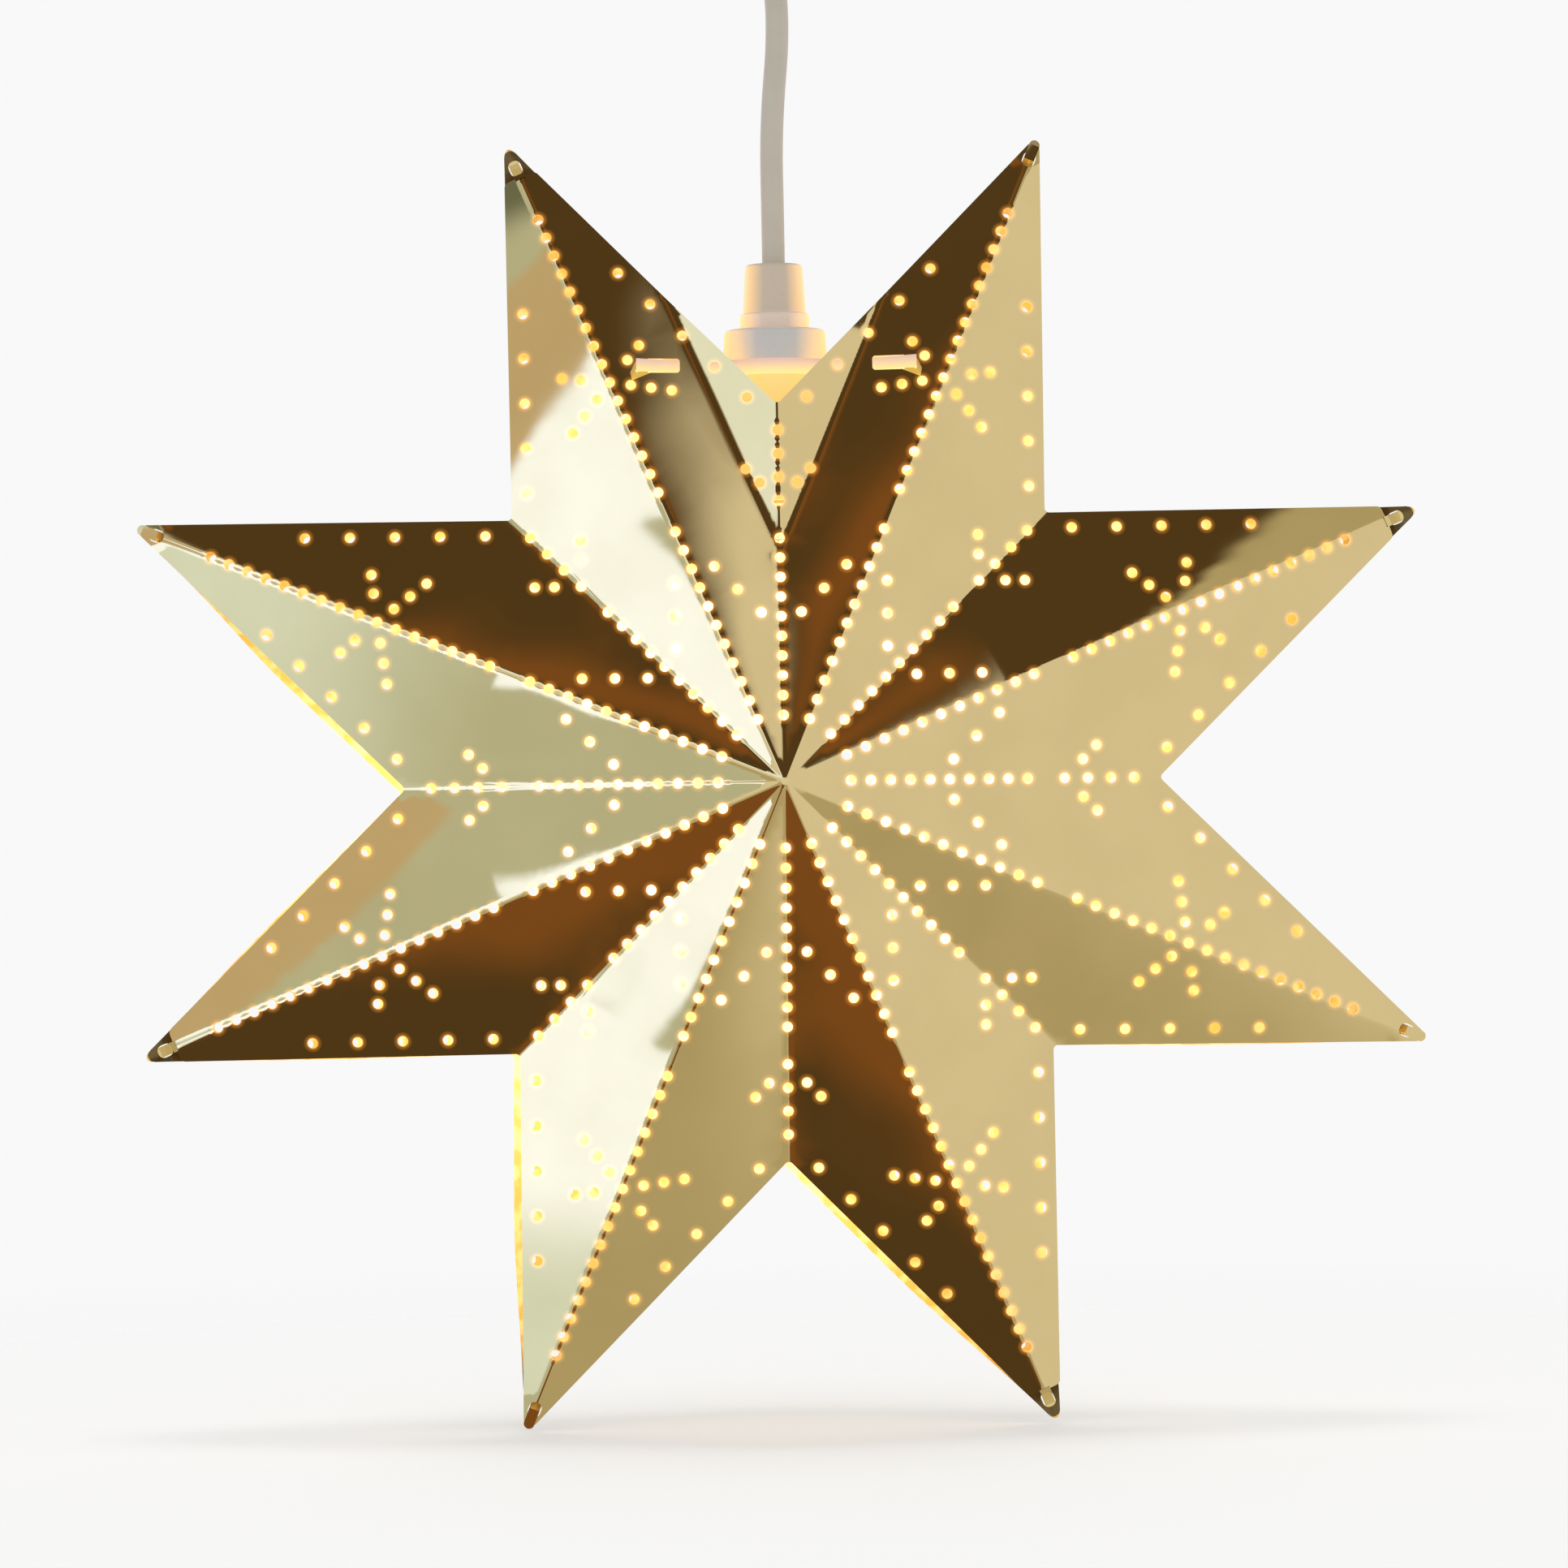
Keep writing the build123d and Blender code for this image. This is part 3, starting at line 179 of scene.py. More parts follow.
# Far cards, which the polished facets mirror. Directions round the viewing axis are in degrees from +X
# towards +Z, and directions away from it in degrees. A later card covers an earlier one.
STUDIO_RADIUS = 1.2
STUDIO_POLAR = (28.0, 152.0)
STUDIO_COLUMNS = 720
STUDIO_ROWS = 311
ALL_AWAY = (0.0, 99.0, 1.0)
STUDIO_CARDS = (  # round from, to, softness of the edge, away from, to, softness, tone
    ((66.3, 121.5, 4.0), ALL_AWAY, BROWN),  # dark ceiling
    ((70.0, 118.0, 3.0), (50.5, 55.0, 2.0), EMBER),  # its warmer part
    ((121.5, 226.0, 2.0), ALL_AWAY, COOL),  # wall on the left
    ((121.5, 140.0, 2.0), (0.0, 48.0, 3.0), BRIGHT),  # its lit corner
    ((148.0, 170.0, 1.0), (57.7, 99.0, 0.3), TAN),  # curtain
    ((141.0, 184.0, 3.0), (0.0, 46.4, 0.3), STUDIO_WALL),  # nearer the axis than the window, upper part
    ((184.0, 226.0, 3.0), (0.0, 46.4, 0.3), SAND),  # lower part
    ((156.5, 202.0, 0.5), (46.4, 57.4, 0.3), WINDOW),
    ((193.0, 212.0, 1.5), (56.0, 99.0, 0.6), PALE),  # window sill
    ((227.0, 266.0, 3.0), ALL_AWAY, BROWN),  # dark table on the left
    ((230.0, 263.0, 3.0), (0.0, 55.0, 2.0), EMBER),  # its warmer part
    ((268.0, 300.0, 9.0), ALL_AWAY, SAND),  # table in front
)

# Near cards, each in front of one facet, which mirrors it to the camera. Borders between their tones are
# given on the facet, in millimetres out along the ridge, with a slant for each millimetre aside of it.
NEAR_DISTANCE = 240.0
NEAR_END = 192.0
NEAR_MARGIN = 2.5  # degrees beyond the facet's folds
NEAR_GRID = (25, 91)  # places from fold to fold and outwards
NEAR_CARDS = (  # valley, ridge, first radius, its tone, borders: start, slant, softness and the tone beyond
    (45.0, 22.5, 62.5, BROWN, ((108.6, 3.08, 4, SAND),)),
    (135.0, 112.5, 75.0, WINDOW, ((123, -0.62, 2, TAN), (152, -0.3, 1.5, COOL), (163, 0, 6, OLIVE))),
    (180.0, 157.5, 79.0, COOL, ((110, 0, 40, PALE),)),
    (180.0, 202.5, 79.0, COOL, ((147, -2.5, 3, TAN),)),
    (225.0, 247.5, 75.0, WINDOW, ((128, 0.3, 18, PALE),)),
)

# Floor and light, in metres, watts and strengths
FLOOR_Z = -454.5 * MM
FLOOR_REACH = 2.0
FLOOR_SHARE = 0.55  # how much the floor shows over the white behind it
FLOOR_FADE = (0.15, 0.6)  # distances from the middle between which it fades out
OVERHEAD_SIZE = 0.4
OVERHEAD_Z = 1.2
OVERHEAD_POWER = 10.5
WORLD_LIGHT = 0.64  # what lights the part
WORLD_WHITE = 0.945  # what the camera, reflections and glass see


def polar(radius, angle, along=0.0, across=0.0):
    """Point on the star's plane: out along a direction, then a step along and square to it."""
    turn = radians(angle)
    out = radius + along
    return out * cos(turn) - across * sin(turn), out * sin(turn) + across * cos(turn)


def smooth_step(value, start, end):
    """Share from 0 to 1 between two values, with a soft start and end."""
    share = np.clip((value - start) / (end - start), 0, 1)
    return share ** 2 * (3 - 2 * share)


def link(name, data):
    """New object in the scene."""
    made = bpy.data.objects.new(name, data)
    bpy.context.collection.objects.link(made)
    return made


def place_camera():
    """Camera at the photograph's viewing angle. Returns its place."""
    left, below = radians(CAMERA_LEFT), radians(CAMERA_BELOW)
    centre = Vector((0, 0, STAR_CENTRE_Z)) * MM
    away = Vector((-sin(left) * cos(below), -cos(left) * cos(below), -sin(below)))
    data = bpy.data.cameras.new("camera")
    data.lens = CAMERA_LENS
    data.sensor_width = CAMERA_SENSOR
    data.clip_end = CAMERA_CLIP_END
    camera = link("camera", data)
    place = centre + away * CAMERA_DISTANCE
    look = (Vector(CAMERA_AIM) * MM - place).to_track_quat("-Z", "Y").to_matrix().to_4x4()
    roll = Matrix.Rotation(radians(CAMERA_ROLL), 4, "Z")
    camera.matrix_world = Matrix.Translation(place) @ look @ roll
    bpy.context.scene.camera = camera
    return place


def make_cord():
    """Cord from the ceiling fitting's grip down into the lampholder."""
    data = bpy.data.curves.new("pendant_cord", "CURVE")
    data.dimensions = "3D"
    data.bevel_depth = 1.0  # times the radius of each point
    data.bevel_resolution = 8
    data.use_fill_caps = True
    spline = data.splines.new("NURBS")
    spline.points.add(len(CORD_ROUTE) - 1)
    for point, place in zip(spline.points, CORD_ROUTE):
        point.co = (*(Vector(place) * MM), 1.0)
        point.radius = CORD_DIAMETER / 2 * MM
    spline.order_u = 3
    spline.use_endpoint_u = True
    spline.resolution_u = 16
    cord = link("pendant_cord", data)
    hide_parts("cord")
    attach(cord, "pendant")
    return cord


def row(first, pitch, count):
    """Distances from the centre of a row of holes that runs inwards."""
    return [first - pitch * index for index in range(count)]


def facet_holes():
    """Holes on one facet: (along, across) in the frame of the valley beside it."""
    holes = []
    to_tip = atan2(TIP_SHARP * STEP_SIN, TIP_SHARP * STEP_COS - NOTCH_RADIUS)
    inset, first, pitch, count = RIM_HOLES
    for index in range(count):
        run = first + pitch * index
        along = NOTCH_RADIUS + run * cos(to_tip) - inset * sin(to_tip)
        holes.append((along, run * sin(to_tip) + inset * cos(to_tip)))
    inset, first, pitch, count = CHEVRON_HOLES
    for index in range(count):
        run = first + pitch * index
        along = run * cos(to_tip) + inset * sin(to_tip)
        holes.append((along, run * sin(to_tip) - inset * cos(to_tip)))
    fork = row(*VALLEY_ROWS[0])[FORK_INDEX]
    holes += [polar(fork, 0, *polar(reach, FORK_SPOKE)) for reach in FORK_HOLES]
    flake = row(*RIDGE_ROWS[0])[FLAKE_INDEX]
    for spoke, reaches in FLAKE_SPOKES:
        holes += [polar(flake, HALF_STEP, *polar(reach, spoke)) for reach in reaches]
    return holes


def hole_centres():
    """Every punched hole of a shell, on the star's plane."""
    centres = []
    for index in range(POINT_COUNT):
        angle = 2 * HALF_STEP * index
        for valley_row in VALLEY_ROWS:
            centres += [polar(radius, angle) for radius in row(*valley_row)]
        for ridge_row in RIDGE_ROWS:
            centres += [polar(radius, angle + HALF_STEP) for radius in row(*ridge_row)]
        for along, across in facet_holes():
            centres += [polar(along, angle, across=across), polar(along, angle, across=-across)]
    return centres


def rounded_loop(corners, sides=6, longest=3.0):
    """Closed outline through rounded corners given as (x, y, rounding), straight runs divided."""
    loop = []
    for index, (x, y, rounding) in enumerate(corners):
        corner = np.array((x, y))
        before = np.array(corners[index - 1][:2]) - corner
        after = np.array(corners[(index + 1) % len(corners)][:2]) - corner
        before /= np.linalg.norm(before)
        after /= np.linalg.norm(after)
        half = np.arccos(np.clip(before @ after, -1, 1)) / 2
        middle = (before + after) / np.linalg.norm(before + after) * rounding / sin(half) + corner
        start = corner + before * rounding / tan(half) - middle
        end = corner + after * rounding / tan(half) - middle
        square = np.array((-start[1], start[0]))
        turn = atan2(square @ end, start @ end)
        for step in range(sides + 1):
            angle = turn * step / sides
            loop.append(middle + start * cos(angle) + square * sin(angle))
    divided = []
    for index, point in enumerate(loop):
        step = loop[(index + 1) % len(loop)] - point
        parts = max(1, int(np.ceil(np.linalg.norm(step) / longest)))
        divided += [tuple(point + step * part / parts) for part in range(parts)]
    return divided


def box_corners(low, high):
    """Corners of a flat box, in order."""
    return (low[0], low[1]), (high[0], low[1]), (high[0], high[1]), (low[0], high[1])


def star_loop():
    """Rim of a shell: full points and shorter points with tongues in turn."""
    stub = TIP_RADIUS - TONGUE_SETBACK
    rim_run = TIP_SHARP - NOTCH_RADIUS * STEP_COS
    half_width = NOTCH_RADIUS * STEP_SIN * (TIP_SHARP - stub) / rim_run
    corners = []
    for index in range(POINT_COUNT):
        angle = HALF_STEP + 2 * HALF_STEP * index
        if index % 2:
            corners.append((*polar(TIP_SHARP, angle), TIP_ROUND))
        else:
            corners.append((*polar(stub, angle, across=-half_width), SHOULDER_ROUND))
            corners.append((*polar(stub, angle, across=half_width), SHOULDER_ROUND))
        corners.append((*polar(NOTCH_RADIUS, angle + HALF_STEP), NOTCH_ROUND))
    return rounded_loop(corners)


def cut_loops():
    """Outlines of the tip holes and of the bracket's slots."""
    loops = []
    length, width, rounding = TIP_HOLE
    box = box_corners((-length / 2, -width / 2), (length / 2, width / 2))
    place = TIP_RADIUS - TIP_HOLE_SETBACK
    for index in range(1, POINT_COUNT, 2):
        angle = HALF_STEP + 2 * HALF_STEP * index
        corners = [(*polar(place, angle, x, y), rounding) for x, y in box]
        loops.append(rounded_loop(corners, longest=1.0))
    low, high = SLOT_Y - SLOT_HEIGHT / 2, SLOT_Y + SLOT_HEIGHT / 2
    for left, right in (SLOT_X, (-SLOT_X[1], -SLOT_X[0])):
        box = box_corners((left, low), (right, high))
        loops.append(rounded_loop([(x, y, SLOT_ROUND) for x, y in box], sides=4))
    return loops


def waves(x, y):
    """Slight waviness of the sheet."""
    depth = np.zeros(len(x))
    for height, length, direction in WAVES:
        turn = radians(direction)
        depth += height * np.sin(2 * pi * (x * cos(turn) + y * sin(turn)) / length)
    return depth


def bow(across, aside):
    """Bulge of a facet, by the distances from the valley and from the ridge beside it."""
    width = across + aside + TINY
    return FACET_BOW * 4 * across * aside / width ** 2 * np.clip(width / BOW_WIDTH, 0, 1)


def valley_distance(valley, along, across):
    """Softened distance from a valley's fold; in the popped wedge, from the wedge's folds."""
    outward = np.clip(along / NOTCH_RADIUS, 0, 1)
    soft = VALLEY_SOFTNESS[0] + (VALLEY_SOFTNESS[1] - VALLEY_SOFTNESS[0]) * outward ** 2
    popped = np.isclose(valley, radians(POP_VALLEY))
    wedge = np.where(popped, np.clip(along - POP_START, 0, None) * POP_SPREAD, 0)
    soft = np.where(wedge > 0, POP_SOFTNESS, soft)
    from_middle = np.sqrt(across ** 2 + np.minimum(wedge, POP_CREASE) ** 2)
    return wedge + np.sqrt((from_middle - wedge) ** 2 + soft ** 2)


def shell_depth(points):
    """Depth of a shell's inner face over the star's plane, with softened folds and slightly bowed facets."""
    x, y = points[:, 0], points[:, 1]
    step = radians(2 * HALF_STEP)
    valley = np.round(np.arctan2(y, x) / step) * step
    along = x * np.cos(valley) + y * np.sin(valley)
    across = -x * np.sin(valley) + y * np.cos(valley)
    ridge = valley + np.where(across < 0, -step / 2, step / 2)
    ridge_along = x * np.cos(ridge) + y * np.sin(ridge)
    aside = np.abs(-x * np.sin(ridge) + y * np.cos(ridge))
    depth = APEX_DEPTH - VALLEY_SLOPE * along + VALLEY_SIDE * valley_distance(valley, along, across)
    fall = np.sqrt(aside ** 2 + RIDGE_SOFTNESS ** 2)
    depth -= RIDGE_SIDE * (fall - aside)
    depth += bow(np.abs(across), aside)
    full_point = np.round(ridge / step - 0.5).astype(int) % 2 == 1
    pad = smooth_step(ridge_along, *PAD_REACH) * full_point
    depth += pad * PAD_FLATNESS * RIDGE_SIDE * (fall - RIDGE_SOFTNESS)
    return depth + waves(x, y)


def unit_normals(depth, points):
    """Unit normals of a surface given by its depth over the star's plane, as (x, y, depth)."""
    slopes = []
    for step in np.array(((SLOPE_STEP, 0.0), (0.0, SLOPE_STEP))):
        slopes.append((depth(points + step) - depth(points - step)) / (2 * SLOPE_STEP))
    normals = np.stack((-slopes[0], -slopes[1], np.ones(len(points))), axis=1)
    return normals / np.linalg.norm(normals, axis=1, keepdims=True)


def inside_rim(x, y, margin):
    """Whether a place lies inside the flat star by a margin."""
    step = 2 * HALF_STEP
    angle = np.degrees(atan2(y, x))
    valley = radians(round(angle / step) * step)
    along = x * cos(valley) + y * sin(valley)
    across = abs(-x * sin(valley) + y * cos(valley))
    edge = np.array((TIP_SHARP * STEP_COS - NOTCH_RADIUS, TIP_SHARP * STEP_SIN))
    edge /= np.linalg.norm(edge)
    inset = edge[0] * across - edge[1] * (along - NOTCH_RADIUS)
    return inset > margin and hypot(x, y) < TIP_RADIUS - TONGUE_SETBACK - margin


def in_loop(point, loop):
    """Even-odd test of a place against a closed outline."""
    inside = False
    x, y = point
    for (x0, y0), (x1, y1) in zip(loop, loop[1:] + loop[:1]):
        if (y0 > y) != (y1 > y) and x < x0 + (y - y0) * (x1 - x0) / (y1 - y0):
            inside = not inside
    return inside


def distance_to(places):
    """Function that gives the distance from a place on the star's plane to the nearest of some places."""
    tree = KDTree(len(places))
    for number, (x, y) in enumerate(places):
        tree.insert((x, y, 0), number)
    tree.balance()

    def distance(x, y):
        return tree.find((x, y, 0))[2]

    return distance


def halo_points(holes, circle):
    """Rings of places round every hole, and the light at each."""
    points, glow = [], []
    for distance, light in HALO_RINGS:
        grown = 1 + distance / HOLE_RADIUS
        points += [(x + dx * grown, y + dy * grown) for x, y in holes for dx, dy in circle]
        glow += [light] * (len(holes) * len(circle))
    return points, glow


def fold_points():
    """Close rows of places along every fold, so that the sheet can bend smoothly there."""
    points = [(0.0, 0.0)]
    for index in range(2 * POINT_COUNT):
        angle = HALF_STEP * index
        reach = TIP_RADIUS if index % 2 else NOTCH_RADIUS
        for step in range(1, int(reach / FOLD_PITCH)):
            radius = step * FOLD_PITCH
            for offset in FOLD_OFFSETS:
                if offset < FOLD_SHARE * radius * tan(radians(HALF_STEP)):
                    points += [polar(radius, angle, across=side) for side in {offset, -offset}]
    for step in range(POP_FIRST_ROW, int((TIP_RADIUS - POP_START) / FOLD_PITCH)):
        along = POP_START + step * FOLD_PITCH
        wedge = POP_SPREAD * step * FOLD_PITCH
        for offset in FOLD_OFFSETS:
            for across in {wedge + offset, wedge - offset}:
                points += [polar(along, POP_VALLEY, across=side) for side in (across, -across)]
    return points


def sheet_points(holes, cuts, halo):
    """Places in the sheet, clear of its cut edges: rows along the folds and a grid over the rest."""
    to_hole, to_cut = distance_to(holes), distance_to(cuts)
    points = []
    for x, y in fold_points():
        clear = to_hole(x, y) > HALO_CLEAR and to_cut(x, y) > FOLD_CUT_MARGIN
        if clear and inside_rim(x, y, FOLD_RIM_MARGIN):
            points.append((x, y))
    to_other = distance_to(halo + points + cuts)
    lines = range(-GRID_LINES, GRID_LINES + 1)
    for line in lines:
        for place in lines:
            x = GRID_PITCH * (place + 0.5 * (line % 2))
            y = GRID_PITCH * STEP_COS * line
            clear = to_hole(x, y) > HALO_CLEAR + GRID_HALO_MARGIN and to_other(x, y) > GRID_SPACE
            if clear and inside_rim(x, y, GRID_RIM_MARGIN):
                points.append((x, y))
    return points


def flat_shell():
    """Triangles of the flat star with all its holes: places, triangles, glow by the holes."""
    holes = hole_centres()
    circle = [polar(HOLE_RADIUS, 360 * side / HOLE_SIDES) for side in range(HOLE_SIDES)]
    loops = [star_loop()] + cut_loops()
    dark_count = len(loops)
    loops += [[(x + dx, y + dy) for dx, dy in circle] for x, y in holes]
    points, edges, owner, glow = [], [], [], []
    for number, loop in enumerate(loops):
        first = len(points)
        points += loop
        edges += [(first + i, first + (i + 1) % len(loop)) for i in range(len(loop))]
        owner += [number] * len(loop)
        glow += [float(number >= dark_count)] * len(loop)
    halo, halo_glow = halo_points(holes, circle)
    free = halo + sheet_points(holes, points, halo)
    points += free
    owner += [NOT_CUT] * len(free)
    glow += halo_glow + [0.0] * (len(free) - len(halo))
    flat = [Vector(point) for point in points]
    places, _, faces, origin, _, _ = delaunay_2d_cdt(flat, edges, [], 0, MERGE_DISTANCE)
    belongs = [owner[group[0]] if group else NOT_CUT for group in origin]
    triangles = []
    for face in faces:
        groups = {belongs[corner] for corner in face}
        cut_away = len(groups) == 1 and min(groups) > 0
        if groups == {0}:
            middle = sum((places[corner] for corner in face), Vector((0, 0))) / 3
            cut_away = not in_loop(middle, loops[0])
        if not cut_away:
            triangles.append(tuple(face))
    glow = np.array([glow[group[0]] if group else 0.0 for group in origin])
    return np.array([tuple(place) for place in places]), triangles, glow


def tongue_path():
    """Tongue of a point with one: from its own shell, through the other shell, folded outwards."""
    half = SHEET / 2
    bend = TIP_RADIUS - TONGUE_SETBACK + SHEET
    start = bend - TONGUE_START
    hole = TIP_RADIUS - TIP_HOLE_SETBACK
    end = TIP_RADIUS + TONGUE_OVERHANG
    above = SHEET + FOLD_CLEARANCE + half

    def ridge(radius):
        return APEX_DEPTH - RIDGE_SLOPE * radius

    path = [(start, ridge(start)), (bend, ridge(bend) + half)]
    path += [(hole, -ridge(hole) - above), (end, -ridge(end) - above)]
    return [np.array(point) for point in path]


def add_tongue(angle, places, faces):
    """Bent strip with a rounded end, appended to a mesh in (x, y, depth)."""
    *bends, fold, end = tongue_path()
    half_width = TONGUE_WIDTH / 2
    stations = [(point, half_width) for point in (*bends, fold)]
    outward = (end - fold) / np.linalg.norm(end - fold)
    for step in range(TONGUE_END_STEPS + 1):
        turn = pi / 2 * step / TONGUE_END_STEPS
        place = end - outward * half_width * (1 - sin(turn))
        stations.append((place, max(half_width * cos(turn), TONGUE_END_HALF_WIDTH)))
    middles = [middle for middle, _ in stations]
    first = len(places)
    for index, (middle, half) in enumerate(stations):
        ahead = middles[min(index + 1, len(middles) - 1)] - middles[max(index - 1, 0)]
        ahead /= np.linalg.norm(ahead)
        square = np.array((-ahead[1], ahead[0])) * SHEET / 2
        for side in (-half, half):
            for face in (square, -square):
                out, depth = middle + face
                places.append((*polar(out, angle, across=side), depth))
    for index in range(len(stations) - 1):
        here, there = first + 4 * index, first + 4 * index + 4
        for a, b in ((0, 1), (1, 3), (3, 2), (2, 0)):
            faces.append((here + a, here + b, there + b, there + a))
    last = first + 4 * (len(stations) - 1)
    faces.append((last, last + 1, last + 3, last + 2))


def sheet_mesh():
    """One shell in (x, y, depth): places, faces, smooth ones first, corner normals, materials, glow."""
    plane, triangles, glow = flat_shell()
    count = len(plane)
    depth = shell_depth(plane)
    normals = unit_normals(shell_depth, plane)
    outer = np.column_stack((plane, depth + SHEET))
    inner = np.column_stack((plane, depth))
    places = [tuple(place) for place in np.concatenate((outer, inner))]
    faces = triangles + [tuple(count + corner for corner in reversed(face)) for face in triangles]
    corner_normals = [normals[corner] for face in triangles for corner in face]
    corner_normals += [-normals[corner] for face in triangles for corner in reversed(face)]
    smooth_count = len(faces)
    sides = [side for a, b, c in triangles for side in ((a, b), (b, c), (c, a))]
    paired = set(sides)
    cuts = [(a, count + a, count + b, b) for a, b in sides if (b, a) not in paired]
    faces += cuts
    for index in range(0, POINT_COUNT, 2):
        add_tongue(HALF_STEP + 2 * HALF_STEP * index, places, faces)
    finishes = [OUTSIDE] * len(triangles) + [INSIDE] * len(triangles) + [EDGE] * len(cuts)
    finishes += [OUTSIDE] * (len(faces) - len(finishes))
    corner_normals += [np.zeros(3)] * sum(len(face) for face in faces[smooth_count:])
    glow = np.concatenate((glow, np.zeros(len(places) - count)))
    return np.array(places), faces, smooth_count, corner_normals, finishes, glow


def slipped(places):
    """Sideways slip of the back shell: none at the points and at the bracket's hooks."""
    reach, height = np.hypot(places[:, 0], places[:, 2]), places[:, 2]
    share = (1 - smooth_step(reach, *BACK_SHIFT_FADE)) * (1 - smooth_step(height, *BACK_SHIFT_HELD))
    return np.outer(share, (BACK_SHIFT[0], 0, BACK_SHIFT[1]))


def make_shells():
    """Both brass shells, the same stamping turned round, with their own materials inside and on cut edges."""
    places, faces, smooth_count, corner_normals, finishes, glow = sheet_mesh()
    shells = []
    for name, facing in (("front_shell", 1), ("back_shell", -1)):
        turn = np.array(((facing, 0, 0), (0, 0, -facing), (0, 1, 0)))
        world = places @ turn.T
        if facing < 0:
            world += slipped(world)
        world += (0, 0, STAR_CENTRE_Z)
        mesh = bpy.data.meshes.new(name + "_sheet")
        mesh.from_pydata((world * MM).tolist(), [], faces)
        mesh.polygons.foreach_set("material_index", finishes)
        mesh.polygons.foreach_set("use_smooth", [number < smooth_count for number in range(len(faces))])
        mesh.normals_split_custom_set([tuple(turn @ normal) for normal in corner_normals])
        mesh.attributes.new("hole_glow", "FLOAT", "POINT").data.foreach_set("value", glow)
        shell = link(name + "_sheet", mesh)
        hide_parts(name)
        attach(shell, "pendant")
        shells.append(shell)
    return shells


def new_tree(name):
    """New material with an empty node tree."""
    made = bpy.data.materials.new(name)
    made.use_nodes = True
    made.node_tree.nodes.clear()
    return made, made.node_tree


def add(tree, kind, inputs=None, **settings):
    """New node with settings; inputs are values or other nodes' sockets."""
    node = tree.nodes.new("ShaderNode" + kind)
    for key, value in settings.items():
        setattr(node, key, value)
    for key, value in (inputs or {}).items():
        if isinstance(value, bpy.types.NodeSocket):
            tree.links.new(value, node.inputs[key])
        else:
            node.inputs[key].default_value = value
    return node


def output(tree, surface):
    """Makes a shader the material's surface."""
    add(tree, "OutputMaterial", {"Surface": surface})


def principled(tree, inputs):
    """Principled shader as the material's surface."""
    output(tree, add(tree, "BsdfPrincipled", inputs).outputs["BSDF"])


def own_place(tree):
    """Place in the object's own frame."""
    return add(tree, "TexCoord").outputs["Object"]


def noise(tree, scale, detail=3.0, stretch=None, distortion=0.0):
    """Noise over the object's own place, in features per metre."""
    place = own_place(tree)
    if stretch:
        place = add(tree, "Mapping", {"Vector": place, "Scale": stretch}).outputs["Vector"]
    inputs = {"Vector": place, "Scale": scale, "Detail": detail, "Distortion": distortion}
    return add(tree, "TexNoise", inputs).outputs["Fac"]


def ranged(tree, value, low, high, start=0.3, end=0.7):
    """Value carried from one range to another."""
    inputs = {"Value": value, "From Min": start, "From Max": end, "To Min": low, "To Max": high}
    return add(tree, "MapRange", inputs).outputs["Result"]


def blended(tree, factor, first, second):
    """Colour between two colours."""
    node = add(tree, "Mix", {"Factor": factor}, data_type="RGBA")
    for socket, colour in zip([s for s in node.inputs if s.type == "RGBA"], (first, second)):
        if isinstance(colour, bpy.types.NodeSocket):
            tree.links.new(colour, socket)
        else:
            socket.default_value = (*colour, 1.0)
    return [s for s in node.outputs if s.type == "RGBA"][0]


def mottled(tree, pattern, light, dark):
    """Colour that varies with a noise pattern."""
    return blended(tree, ranged(tree, pattern, 0.0, 1.0), light, dark)


def bumped(tree, height, strength, distance):
    """Normal with slight relief."""
    inputs = {"Height": height, "Strength": strength, "Distance": distance}
    return add(tree, "Bump", inputs).outputs["Normal"]


def product(tree, first, second):
    """Two values multiplied."""
    return add(tree, "Math", {0: first, 1: second}, operation="MULTIPLY").outputs["Value"]


def from_centre(tree, low, high, reaches):
    """Value that changes with the distance from the star's centre."""
    ends = {0: own_place(tree), 1: (0.0, 0.0, STAR_CENTRE_Z * MM)}
    distance = add(tree, "VectorMath", ends, operation="DISTANCE").outputs["Value"]
    start, end = reaches
    return ranged(tree, distance, low, high, start * MM, end * MM)


def upwards(tree, heights):
    """Share from 0 to 1 between two heights above the star's centre."""
    height = add(tree, "SeparateXYZ", {0: own_place(tree)}).outputs["Z"]
    start, end = heights
    return ranged(tree, height, 0.0, 1.0, (STAR_CENTRE_Z + start) * MM, (STAR_CENTRE_Z + end) * MM)


def polished_brass():
    """Mirror-polished brass sheet: faint smudges and swirls, a warm rim of light round each hole."""
    made, tree = new_tree("star_brass_outside")
    smudge = noise(tree, 45.0, 5.0)
    swirl = noise(tree, 20.0, 0.0, distortion=0.8)
    glow = add(tree, "Attribute", attribute_name="hole_glow").outputs["Fac"]
    principled(tree, {
        "Base Color": mottled(tree, smudge, (0.71, 0.585, 0.285), (0.67, 0.55, 0.262)),
        "Metallic": 1.0,
        "Roughness": ranged(tree, smudge, 0.025, 0.055),
        "Normal": bumped(tree, swirl, 0.1, SWIRL_DEPTH),
        "Emission Color": (1.0, 0.36, 0.04, 1.0),
        "Emission Strength": product(tree, glow, 0.6),
    })
    return made


